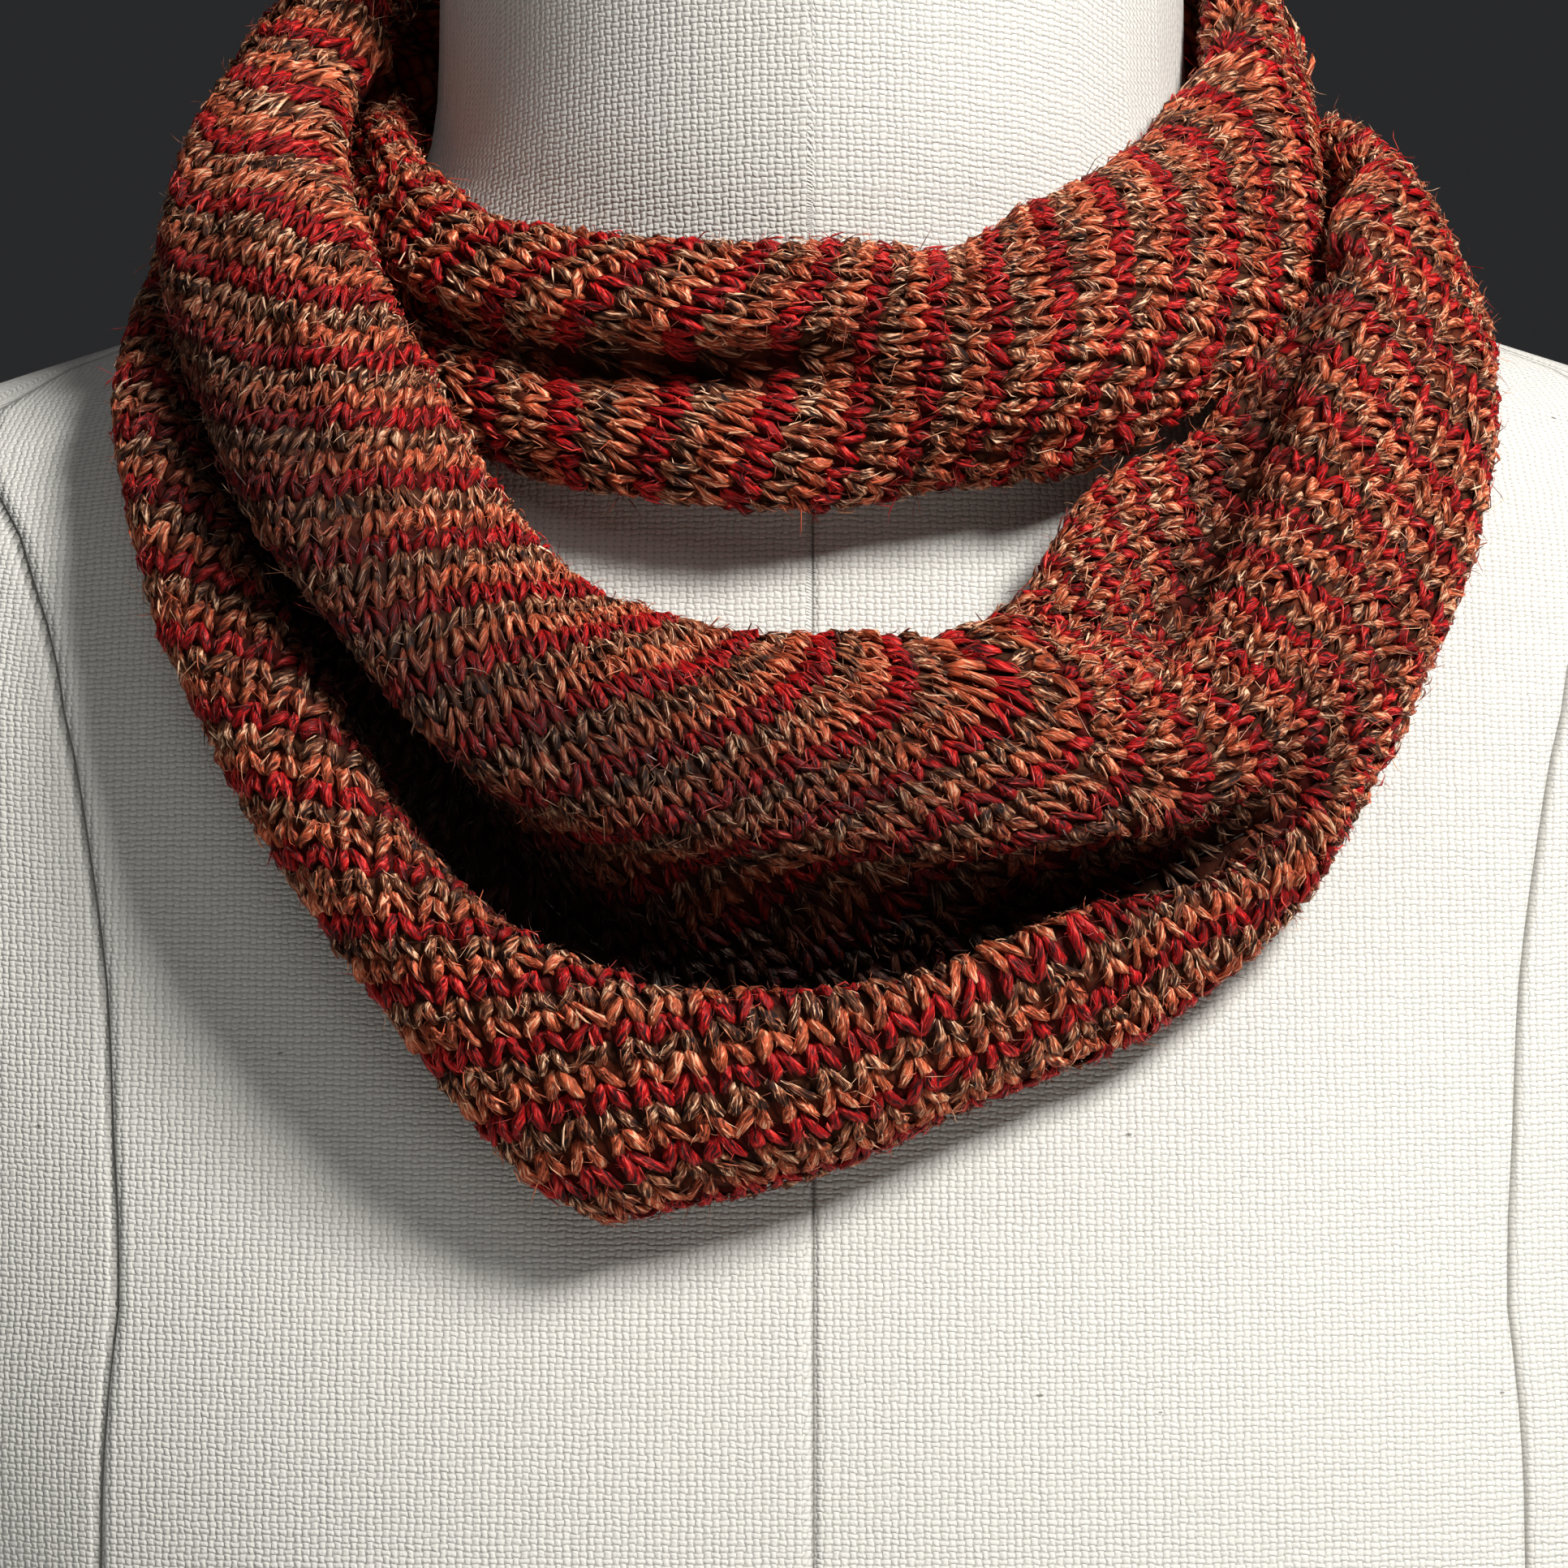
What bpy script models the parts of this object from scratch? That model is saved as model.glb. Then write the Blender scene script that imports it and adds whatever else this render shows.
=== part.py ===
"""Knitted neck warmer, wound twice round a limbless dress form.

The scarf is one long knitted loop. It is cut here into the stretches that show: the band that comes down
on the left and swings across the chest, the lower fold that hangs under it, the band that climbs on the
right, the tight turn round the neck, and the two stretches behind the neck that join them. Every stretch
is a wall of cloth, lofted through sections that stand like hours on a clock round the neck's axis.
"""
import math

import bpy
from mathutils import Vector

MM = 0.001                    # tables are written in millimetres, the model is in metres
CLOTH_THICK = 2.2             # thickness of the knitted wall
SEAM_GAP = 0.55               # clear gap left between two neighbouring stretches
CHEST_LEVEL = 470.0           # height of the tables' zero level above the form's flat underside
BUST_DEPTH = 121.0            # furthest reach of the form in front of the neck's axis
BACK_DEPTH = 112.0            # furthest reach of the form behind the neck's axis
AXIS_Y = (BUST_DEPTH - BACK_DEPTH) / 2.0    # puts the middle of the form's depth over the origin
STEEPEST_RUN = 0.8            # least cosine between a section's plane and the cloth that crosses it
CURL_SHARE = 0.6              # the wall is never thicker than this share of the curl it is bent round

FORM_SEGMENTS = 48            # faces round the form
BAND_STEP = 6.0               # degrees between the cut lines of a stretch in front
BACK_STEP = 10.0              # degrees between the cut lines of a stretch behind the neck
UPPER_ROLL_CELLS = 15         # faces across the upper roll, from its lip to the bottom of the pocket
LOWER_ROLL_CELLS = 11         # faces across the lower roll, from the bottom of the pocket to its tail
TIGHT_ROLL_CELLS = 20         # faces across the tight turn and the stretches behind the neck

LEFT_END = -90.0              # where the left band and the lower fold pass behind the neck
MERGE_ANGLE = 43.0            # where the upper and the lower roll run together into the right band
RIGHT_END = 90.0              # where the right band and the neck wrap pass behind the neck

LINEN_COLOUR = (0.74, 0.71, 0.65, 1.0)
LINEN_ROUGHNESS = 0.9
KNIT_ROUGHNESS = 0.85
KNIT_COLOURS = {
    "left_band": (0.42, 0.09, 0.05, 1.0),
    "lower_fold": (0.36, 0.08, 0.05, 1.0),
    "right_band": (0.45, 0.10, 0.06, 1.0),
    "neck_wrap": (0.38, 0.07, 0.04, 1.0),
    "back_lower": (0.34, 0.07, 0.04, 1.0),
    "back_upper": (0.40, 0.08, 0.05, 1.0),
}

# One row for each level of the dress form: height, half width, reach in front of and behind the neck's
# axis, and how square the outline is (2 is an ellipse, more is squarer).
FORM_COLUMNS = ("height", "half_width", "front", "back", "square")
FORM_LEVELS = (
    (-470, 165.0, 100.0, 108.0, 2.30),
    (-400, 158.0, 98.0, 106.0, 2.30),
    (-300, 126.0, 92.0, 86.0, 2.20),
    (-230, 137.0, 108.0, 96.0, 2.30),
    (-170, 152.0, 121.0, 104.0, 2.50),
    (-110, 164.0, 111.0, 110.0, 2.50),
    (-60, 178.0, 97.0, 112.0, 2.30),
    (-20, 188.0, 84.0, 110.0, 2.10),
    (10, 192.0, 75.0, 105.0, 1.95),
    (35, 187.0, 66.0, 96.0, 1.75),
    (52, 158.0, 61.0, 88.0, 1.60),
    (64, 124.0, 59.0, 80.0, 1.50),
    (73, 96.0, 58.5, 72.0, 1.50),
    (80, 78.0, 58.5, 67.0, 1.60),
    (88, 66.0, 58.5, 62.0, 1.80),
    (98, 60.0, 58.5, 59.0, 2.00),
    (110, 58.5, 58.5, 58.5, 2.00),
    (162, 58.0, 58.0, 58.0, 2.00),
)
FORM_RINGS = (
    -470, -464, -436, -400, -368, -340, -316, -296, -272, -240, -205, -170, -135, -100, -68, -38, -12, 10,
    28, 42, 54, 63, 71, 78, 86, 94, 104, 130, 158, 162,
)
FORM_EDGE_ROUND = 4.0         # the form's lowest ring and its neck cap are drawn in by this much

# The sections of the scarf. Each row is a section at one hour angle round the neck: 0 is the front, minus
# is the left of the picture. Each named point is a distance from the neck's axis and a height.
SECTION_POINTS = ("lip", "crown", "crease", "face", "nose", "fold", "rim", "belly", "hem", "tail")
OUTER_SECTIONS = (
    (-90, (66.5, 114), (68, 124), (73.5, 128.5), (82.5, 122.5), (91.5, 110),
     (88, 101.5), (95, 97), (99, 91), (94, 83), (87.5, 89)),
    (-80, (69.5, 107.5), (70.5, 114.5), (76.5, 117.5), (87, 112), (98, 98.5),
     (91, 89.5), (99, 87), (103, 82), (98, 74.5), (91, 81)),
    (-70, (75.5, 97.5), (76, 104), (82, 106), (93.5, 100), (105.5, 81),
     (94.5, 72.5), (107, 71.5), (113, 65), (108, 57.5), (101.5, 64)),
    (-60, (82, 85.5), (82.5, 93), (89, 94), (100, 85), (109.5, 62),
     (97, 54), (111, 54), (119, 46), (114, 37), (107, 45)),
    (-50, (87, 74.5), (89, 84), (95.5, 83), (105, 70), (114, 46.5),
     (98, 37), (115, 35.5), (124, 22), (119, 12), (112, 20)),
    (-40, (90, 59), (93.5, 68), (100, 66.5), (109, 53), (118, 31),
     (98, 16), (118, 12.5), (125, -4), (119.5, -14), (112.5, -6)),
    (-30, (84, 33), (90, 41), (96, 39), (107, 29), (117.5, 11.5),
     (98, -7), (119, -10.5), (124, -26), (117, -37.5), (110, -29)),
    (-20, (81, 20), (87, 28), (93, 26), (104, 18), (113.5, -1),
     (95, -23), (119, -25), (121, -43), (113.5, -59.5), (106.5, -51)),
    (-15, (79.5, 17), (85.5, 25), (91.5, 23.5), (103, 15), (112, -3),
     (94.5, -27), (118, -29), (120, -45.5), (111.5, -63), (104.5, -54.5)),
    (-10, (78, 15), (84, 23), (90, 21), (102, 12), (110, -5),
     (94, -30), (117, -32), (117.5, -46), (107, -61), (100.5, -52.5)),
    (0, (76, 13), (82, 21), (88, 20), (99, 12), (108, -7),
     (93, -31.5), (114, -32), (115, -45), (103, -57), (96.5, -48.5)),
    (10, (77, 13), (83, 21), (88, 21), (98, 13), (107.5, -8),
     (92.5, -28), (113, -28), (113, -39), (103, -50), (96.5, -41.5)),
    (20, (78, 19), (85, 27), (91, 25), (102, 14), (110.5, -8),
     (95, -20.5), (112, -21), (112, -31), (104, -43), (97.5, -34.5)),
    (30, (80, 36), (87, 45), (99, 24), (108, 17), (115, -5),
     (105, -13), (114, -15), (114, -24), (107, -33), (100.5, -24.5)),
    (40, (84.5, 46), (90, 52.5), (97.5, 42.5), (110.5, 37), (118.5, 12),
     (117, 1), (119, -3), (118, -9), (112, -17), (105, -9)),
    (45, (90.5, 56), (94.5, 65), (102, 61.5), (110.5, 50), (118, 29),
     (118.5, 19), (120, 13), (119.5, 6), (113, -2.5), (106, 5)),
    (50, (95, 64), (97.5, 74), (102, 73), (109.5, 62), (117, 45),
     (119.5, 36), (120.5, 28), (120, 21), (114, 13), (107, 20)),
    (60, (91, 77.5), (92.5, 87), (97.5, 88), (104.5, 81.5), (112.5, 67),
     (116.5, 58), (118.5, 51), (118.5, 45), (113, 37.5), (106, 45)),
    (70, (87, 84), (88, 93.5), (92, 96), (98, 92.5), (104, 82),
     (107.5, 75.5), (110, 70), (111, 65), (106, 58.3), (99, 65)),
    (80, (80, 91.5), (81, 100), (85, 102.5), (90, 98.5), (96, 89),
     (99.5, 83), (102, 78), (103, 75), (98.5, 70.3), (92, 76.5)),
    (90, (75, 92.5), (76, 100.5), (80, 103.5), (85.5, 101), (91, 93),
     (94, 88), (97, 83), (98, 79), (93.5, 74.8), (87, 81)),
)
WRAP_SECTIONS = (
    (-90, (62.5, 100), (63.5, 106.5), (67.5, 107.5), (71.5, 104), (74.5, 97),
     (74, 93), (76, 90), (79, 87), (80.8, 84), (81.3, 81.3)),
    (-75, (63.5, 96), (65.5, 103), (70, 103), (71.5, 99), (75, 92),
     (74.5, 88), (77, 85), (81, 81.5), (84, 78.5), (85.5, 76)),
    (-60, (65.5, 88), (68, 94.7), (72.7, 94), (75.5, 90), (79, 83),
     (76, 77), (79.5, 73.5), (83, 70), (85.5, 66), (86.8, 62.5)),
    (-45, (64.5, 78), (70, 86.5), (75.5, 87), (79.5, 83), (82, 75),
     (77, 69), (82, 64), (84.5, 58), (82.8, 52.5), (78.5, 53.5)),
    (-30, (65, 75), (71, 83), (76, 82), (80, 78), (82, 71),
     (75, 64), (82, 58), (83.2, 51.5), (77.5, 45), (72, 50.5)),
    (-15, (63, 73), (69, 81), (74, 80), (78, 76), (80, 69),
     (73, 62), (80, 56), (81, 49), (76, 42), (70.5, 50)),
    (0, (62, 72), (68, 80), (73, 79), (77, 75), (80, 68),
     (76, 61), (80, 55), (79, 48), (74, 41), (68.5, 49)),
    (15, (62, 72), (69, 80), (75, 79), (81, 75), (85, 67),
     (85, 61), (84, 55), (81, 49), (75, 43), (69.5, 51)),
    (30, (62, 80), (69, 88), (76, 87), (84, 81), (90, 73),
     (92, 66), (91, 59), (88, 52), (81, 47), (75.5, 55)),
    (45, (61, 87), (66, 95), (72, 95), (79, 92), (87, 84),
     (91, 76), (93, 69), (92, 63), (87, 59), (81.5, 67)),
    (60, (61, 96), (64, 104), (70, 105), (76, 102), (83, 95),
     (87, 88), (89, 82), (88, 78), (84, 76), (78.5, 84)),
    (75, (61, 107), (63, 115), (67, 117), (72, 115), (77, 108),
     (80, 103), (81, 98), (80.5, 95), (76.5, 90.5), (71, 96.5)),
    (90, (61, 122), (62, 130), (65, 133), (69, 130), (73, 123),
     (76, 117), (77, 112), (77.5, 110.5), (73, 105.5), (67.5, 111.5)),
)
# Behind the neck the hour angle runs on from 90 to 270. The upper stretch joins the neck wrap's right end
# to the left band, the lower one joins the right band to the neck wrap's left end.
UPPER_BACK_SECTIONS = (
    (120, (62, 128), (64, 136), (68, 139), (73, 136), (78, 128),
     (80, 122), (82, 117), (81, 113), (75.5, 107.5), (69.5, 113)),
    (160, (64, 130), (67, 138), (72, 141), (78, 138), (84, 129),
     (85, 122), (88, 117), (88, 112), (82, 106.5), (75.5, 112)),
    (200, (66, 129), (69, 137), (75, 140), (82, 137), (89, 127),
     (89, 119), (93, 114), (94, 108), (88, 102), (81.5, 107.5)),
    (240, (70, 125), (72, 133), (78, 136), (86, 131), (94, 119),
     (91, 110), (97, 106), (100, 99), (94, 92), (87.5, 98)),
)
LOWER_BACK_SECTIONS = (
    (120, (74, 87), (76, 95), (80, 99), (86, 99), (91, 94),
     (94, 88), (96, 82), (96, 76), (91, 70.5), (84.5, 76)),
    (160, (69, 86), (72, 94), (76, 97), (81, 95), (86, 89),
     (87, 84), (89, 79), (90, 75), (84.5, 69.5), (78, 75)),
    (200, (67, 90), (69, 97), (73, 99), (77, 97), (81, 90),
     (81, 86), (84, 81), (87, 77), (82, 71.3), (76, 76.5)),
    (240, (64, 95), (67, 102), (70, 103), (74, 100), (78, 93),
     (77, 89), (81, 86), (83.5, 82), (82.5, 77.3), (79, 76.5)),
)


def slopes(places, values):
    """Slope at each place of a smooth curve that doesn't overshoot its own values."""
    count = len(places)
    steps = [places[i + 1] - places[i] for i in range(count - 1)]
    rises = [(values[i + 1] - values[i]) / steps[i] for i in range(count - 1)]
    result = [rises[0]]
    for i in range(1, count - 1):
        if rises[i - 1] * rises[i] <= 0.0:
            result.append(0.0)
            continue
        before = 2.0 * steps[i] + steps[i - 1]
        after = steps[i] + 2.0 * steps[i - 1]
        result.append((before + after) / (before / rises[i - 1] + after / rises[i]))
    result.append(rises[-1])
    return result


def smooth_value(places, values, grades, place):
    """Value of the smooth curve at one place."""
    last = len(places) - 2
    index = 0
    while index < last and place > places[index + 1]:
        index += 1
    step = places[index + 1] - places[index]
    t = (place - places[index]) / step
    low = (2 * t ** 3 - 3 * t ** 2 + 1) * values[index] + (t ** 3 - 2 * t ** 2 + t) * step * grades[index]
    high = (3 * t ** 2 - 2 * t ** 3) * values[index + 1] + (t ** 3 - t ** 2) * step * grades[index + 1]
    return low + high


class SectionTrack:
    """A run of sections that can be read at any hour angle."""

    def __init__(self, rows):
        self.angles = [float(row[0]) for row in rows]
        self.tracks = []
        for column in range(len(SECTION_POINTS)):
            for axis in range(2):
                values = [float(row[1 + column][axis]) for row in rows]
                self.tracks.append((values, slopes(self.angles, values)))

    def named_points(self, angle):
        """The section's named points at one hour angle."""
        flat = [smooth_value(self.angles, values, grades, angle) for values, grades in self.tracks]
        return [Vector((flat[i], flat[i + 1])) for i in range(0, len(flat), 2)]


def section_curve(points, first, last, cells):
    """Even steps along a smooth curve through the named points, from one name to another, with the
    curve's direction at each step. An end at a seam stops short of it by half the seam gap."""
    lengths = [0.0]
    for before, after in zip(points, points[1:]):
        lengths.append(lengths[-1] + (after - before).length)
    tangents = []
    for i in range(len(points)):
        low = max(i - 1, 0)
        high = min(i + 1, len(points) - 1)
        tangents.append((points[high] - points[low]).normalized())
    first_index = SECTION_POINTS.index(first)
    last_index = SECTION_POINTS.index(last)
    start = lengths[first_index] + (SEAM_GAP / 2.0 if first_index > 0 else 0.0)
    end = lengths[last_index] - (SEAM_GAP / 2.0 if last_index < len(points) - 1 else 0.0)
    places = []
    directions = []
    for cell in range(cells + 1):
        place = start + (end - start) * cell / cells
        index = first_index
        while index < last_index - 1 and place > lengths[index + 1]:
            index += 1
        step = lengths[index + 1] - lengths[index]
        t = (place - lengths[index]) / step
        here = (2 * t ** 3 - 3 * t ** 2 + 1) * points[index] + (3 * t ** 2 - 2 * t ** 3) * points[index + 1]
        here += (t ** 3 - 2 * t ** 2 + t) * step * tangents[index]
        here += (t ** 3 - t ** 2) * step * tangents[index + 1]
        heading = (6 * t ** 2 - 6 * t) / step * (points[index] - points[index + 1])
        heading += (3 * t ** 2 - 4 * t + 1) * tangents[index] + (3 * t ** 2 - 2 * t) * tangents[index + 1]
        places.append(here)
        directions.append(heading.normalized())
    directions[0] = tangents[first_index]
    directions[-1] = tangents[last_index]
    return places, directions


def place_in_space(angle, point):
    """From an hour angle, a distance from the neck's axis and a height to a place in the model."""
    turn = math.radians(angle)
    x = point[0] * math.sin(turn)
    y = AXIS_Y - point[0] * math.cos(turn)
    return Vector((x, y, CHEST_LEVEL + point[1]))


def run_cosines(grid, directions, angles):
    """How squarely each section's plane crosses the cloth, from one, square, down to the steepest run."""
    rows = len(grid)
    result = []
    for i in range(rows):
        before = max(i - 1, 0)
        after = min(i + 1, rows - 1)
        turn = math.radians(angles[i])
        line = []
        for j, direction in enumerate(directions[i]):
            along = grid[after][j] - grid[before][j]
            across = Vector((direction[0] * math.sin(turn), -direction[0] * math.cos(turn), direction[1]))
            normal = across.cross(along).normalized()
            sideways = normal.dot(Vector((math.cos(turn), math.sin(turn), 0.0)))
            line.append(max(math.sqrt(1.0 - sideways ** 2), STEEPEST_RUN))
        result.append(line)
    return result


def wall_depths(places, directions, cosines):
    """Depth of the wall at each step of one section, thinner where the cloth is curled tightly."""
    depths = []
    for j, cosine in enumerate(cosines):
        low = max(j - 1, 0)
        high = min(j + 1, len(places) - 1)
        depth = CLOTH_THICK / cosine
        turn = math.atan2(
            directions[low][0] * directions[high][1] - directions[low][1] * directions[high][0],
            directions[low].dot(directions[high]),
        )
        if turn < 0.0:
            curl = (places[high] - places[low]).length / (2.0 * math.sin(min(-turn, math.pi) / 2.0))
            depth = min(depth, CURL_SHARE * curl)
        depths.append(depth)
    return depths


def angle_steps(start, end, step):
    """Hour angles from start to end in even steps no wider than step."""
    count = max(1, math.ceil((end - start) / step - 1e-6))
    return [start + (end - start) * i / count for i in range(count + 1)]


def solid_from_faces(name, vertices, faces, colour, roughness, collection):
    """An object with its own material from vertices in millimetres."""
    mesh = bpy.data.meshes.new(name)
    mesh.from_pydata([vertex * MM for vertex in vertices], [], faces)
    mesh.polygons.foreach_set("use_smooth", [True] * len(faces))
    mesh.update()
    material = bpy.data.materials.new(name + "_material")
    material.use_nodes = True
    shader = material.node_tree.nodes["Principled BSDF"]
    shader.inputs["Base Color"].default_value = colour
    shader.inputs["Roughness"].default_value = roughness
    shader.inputs["Metallic"].default_value = 0.0
    mesh.materials.append(material)
    item = bpy.data.objects.new(name, mesh)
    collection.objects.link(item)
    return item


def cloth_wall(name, track, angles, first, last, cells, collection):
    """A closed wall of cloth between two named points, along a run of hour angles."""
    grid = []
    directions = []
    curves = []
    for angle in angles:
        places, headings = section_curve(track.named_points(angle), first, last, cells)
        curves.append(places)
        directions.append(headings)
        grid.append([place_in_space(angle, place) for place in places])
    cosines = run_cosines(grid, directions, angles)
    rows = len(grid)
    columns = cells + 1
    vertices = [place for line in grid for place in line]
    for angle, places, headings, line in zip(angles, curves, directions, cosines):
        depths = wall_depths(places, headings, line)
        for place, heading, depth in zip(places, headings, depths):
            outward = Vector((-heading[1], heading[0]))
            vertices.append(place_in_space(angle, place - outward * depth))
    under = rows * columns
    faces = []
    for i in range(rows - 1):
        for j in range(columns - 1):
            corner = i * columns + j
            faces.append((corner, corner + 1, corner + columns + 1, corner + columns))
            corner += under
            faces.append((corner, corner + columns, corner + columns + 1, corner + 1))
        edge = i * columns
        faces.append((edge, edge + columns, under + edge + columns))
        faces.append((edge, under + edge + columns, under + edge))
        edge += columns - 1
        faces.append((edge + columns, edge, under + edge + columns))
        faces.append((edge, under + edge, under + edge + columns))
    for j in range(columns - 1):
        faces.append((j + 1, j, under + j, under + j + 1))
        edge = (rows - 1) * columns + j
        faces.append((edge, edge + 1, under + edge + 1, under + edge))
    return solid_from_faces(name, vertices, faces, KNIT_COLOURS[name], KNIT_ROUGHNESS, collection)


def outer_track():
    """Sections of the loose outer turn."""
    return SectionTrack(OUTER_SECTIONS)


def wrap_track():
    """Sections of the tight turn round the neck."""
    return SectionTrack(WRAP_SECTIONS)


def back_track(start_row, rows, end_row):
    """Sections of a stretch behind the neck, tied to the ends of the stretches that it joins."""
    first = (RIGHT_END,) + tuple(start_row[1:])
    last = (360.0 + LEFT_END,) + tuple(end_row[1:])
    return SectionTrack((first,) + tuple(rows) + (last,))


def gap_angle(radius):
    """Half the seam gap as an hour angle at one distance from the axis."""
    return math.degrees(SEAM_GAP / 2.0 / radius)


def build_left_band(collection):
    """The upper roll: down the left side, then across the chest in front."""
    gap = gap_angle(OUTER_SECTIONS[0][2][0])
    angles = angle_steps(LEFT_END + gap, MERGE_ANGLE - gap, BAND_STEP)
    return cloth_wall("left_band", outer_track(), angles, "lip", "fold", UPPER_ROLL_CELLS, collection)


def build_lower_fold(collection):
    """The lower roll that hangs under the pocket."""
    gap = gap_angle(OUTER_SECTIONS[0][2][0])
    angles = angle_steps(LEFT_END + gap, MERGE_ANGLE - gap, BAND_STEP)
    return cloth_wall("lower_fold", outer_track(), angles, "fold", "tail", LOWER_ROLL_CELLS, collection)


def build_right_band(collection):
    """The wide band that climbs on the right, where the two rolls have run together."""
    gap = gap_angle(OUTER_SECTIONS[-1][2][0])
    angles = angle_steps(MERGE_ANGLE + gap, RIGHT_END - gap, BAND_STEP)
    cells = UPPER_ROLL_CELLS + LOWER_ROLL_CELLS
    return cloth_wall("right_band", outer_track(), angles, "lip", "tail", cells, collection)


def build_neck_wrap(collection):
    """The tight turn round the neck."""
    gap = gap_angle(WRAP_SECTIONS[0][2][0])
    angles = angle_steps(LEFT_END + gap, RIGHT_END - gap, BAND_STEP)
    return cloth_wall("neck_wrap", wrap_track(), angles, "lip", "tail", TIGHT_ROLL_CELLS, collection)


def build_back(name, track, collection):
    """A stretch behind the neck."""
    gap = gap_angle(WRAP_SECTIONS[0][2][0])
    angles = angle_steps(RIGHT_END + gap, 360.0 + LEFT_END - gap, BACK_STEP)
    return cloth_wall(name, track, angles, "lip", "tail", TIGHT_ROLL_CELLS, collection)


def form_outline(sizes, turn, draw_in):
    """One place on the form's outline, at a turn round the neck's axis in radians."""
    half_width = sizes["half_width"] - draw_in
    depth = (sizes["front"] if math.cos(turn) > 0.0 else sizes["back"]) - draw_in
    power = sizes["square"]
    sideways = abs(math.sin(turn)) ** (2.0 / power)
    forwards = abs(math.cos(turn)) ** (2.0 / power)
    x = math.copysign(half_width * sideways, math.sin(turn))
    y = AXIS_Y - math.copysign(depth * forwards, math.cos(turn))
    return x, y


def build_dress_form(collection):
    """The linen form: a loft through its levels, flat underneath and capped at the top of the neck."""
    heights = [float(row[0]) for row in FORM_LEVELS]
    curves = {}
    for index, column in enumerate(FORM_COLUMNS):
        values = [float(row[index]) for row in FORM_LEVELS]
        curves[column] = (values, slopes(heights, values))
    vertices = []
    for level, height in enumerate(FORM_RINGS):
        sizes = {name: smooth_value(heights, *curve, height) for name, curve in curves.items()}
        draw_in = FORM_EDGE_ROUND if level in (0, len(FORM_RINGS) - 1) else 0.0
        for segment in range(FORM_SEGMENTS):
            turn = 2.0 * math.pi * segment / FORM_SEGMENTS
            x, y = form_outline(sizes, turn, draw_in)
            vertices.append(Vector((x, y, CHEST_LEVEL + height)))
    faces = []
    for level in range(len(FORM_RINGS) - 1):
        for segment in range(FORM_SEGMENTS):
            low = level * FORM_SEGMENTS + segment
            low_next = level * FORM_SEGMENTS + (segment + 1) % FORM_SEGMENTS
            faces.append((low, low_next, low_next + FORM_SEGMENTS, low + FORM_SEGMENTS))
    faces.append(tuple(range(FORM_SEGMENTS - 1, -1, -1)))
    top = (len(FORM_RINGS) - 1) * FORM_SEGMENTS
    faces.append(tuple(range(top, top + FORM_SEGMENTS)))
    return solid_from_faces("dress_form", vertices, faces, LINEN_COLOUR, LINEN_ROUGHNESS, collection)


def clear_scene():
    """Remove the objects of the starting scene."""
    for item in list(bpy.data.objects):
        bpy.data.objects.remove(item, do_unlink=True)


def main():
    clear_scene()
    collection = bpy.data.collections.new("knitted_neck_warmer")
    bpy.context.scene.collection.children.link(collection)
    build_dress_form(collection)
    build_left_band(collection)
    build_lower_fold(collection)
    build_right_band(collection)
    build_neck_wrap(collection)
    build_back("back_lower", back_track(OUTER_SECTIONS[-1], LOWER_BACK_SECTIONS, WRAP_SECTIONS[0]), collection)
    build_back("back_upper", back_track(WRAP_SECTIONS[-1], UPPER_BACK_SECTIONS, OUTER_SECTIONS[0]), collection)


main()
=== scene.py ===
"""Knitted neck warmer on a linen dress form.

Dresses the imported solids: each stretch of the knitted loop gets a thin shell of cloth, its own stitches of
striped yarn and the loose fibres that stand on it, and the dress form gets its linen, its weave and its
sewn seams. The tables are written in millimetres and hour angles round the neck: 0 is the front, minus is
the left of the picture, and the hours run on past 90 behind the neck. Only the red rows are in pixels, as
they were read off the photo, and the whole numbering of the stitches is worked out from them.
"""
import functools
import math

import bmesh
import bpy
import numpy as np
from bpy.props import FloatProperty, FloatVectorProperty, IntProperty, PointerProperty
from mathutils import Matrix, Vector
from mathutils.bvhtree import BVHTree


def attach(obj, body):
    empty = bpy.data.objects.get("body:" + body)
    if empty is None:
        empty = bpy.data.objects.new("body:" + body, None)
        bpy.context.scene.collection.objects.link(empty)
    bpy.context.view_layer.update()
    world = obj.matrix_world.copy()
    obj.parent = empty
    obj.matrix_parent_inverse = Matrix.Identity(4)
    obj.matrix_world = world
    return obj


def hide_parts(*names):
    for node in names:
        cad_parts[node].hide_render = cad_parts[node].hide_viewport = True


bl_info = {
    "name": "Knitted neck warmer",
    "version": (1, 0, 0),
    "blender": (4, 5, 0),
    "location": "View3D > Sidebar > Neck warmer",
    "description": "Builds a knitted neck warmer, stitch by stitch, on a linen dress form",
    "category": "Add Mesh",
}

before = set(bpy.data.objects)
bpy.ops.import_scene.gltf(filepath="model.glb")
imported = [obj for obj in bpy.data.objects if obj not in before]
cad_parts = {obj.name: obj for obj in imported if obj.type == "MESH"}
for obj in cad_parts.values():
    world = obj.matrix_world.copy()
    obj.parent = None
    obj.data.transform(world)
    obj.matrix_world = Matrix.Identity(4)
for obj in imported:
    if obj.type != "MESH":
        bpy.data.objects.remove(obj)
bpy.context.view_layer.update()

MM = 0.001
CLOTH_THICK = 2.2             # thickness of the knitted wall
CURL_SHARE = 0.6              # the wall is never thicker than this share of the curl it is bent round
SEAM_GAP = 0.3                # clear gap between two neighbouring shells
CHEST_LEVEL = 470.0           # height of the tables' zero level above the form's flat underside
AXIS_Y = 4.5                  # where the neck's axis stands, front to back
STITCH_WIDTH = 4.87           # one stitch across, as knitted
ROW_HEIGHT = 3.25             # one row, as knitted
SHELL_SINK = 1.0              # the shell lies this deep under the tops of the stitches
LUMP_SIZE = 1.9               # how far the yarn's surface wanders, over the whole range of a noise
SHELL_STEP = 2.3              # size of the shell's faces
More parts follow.
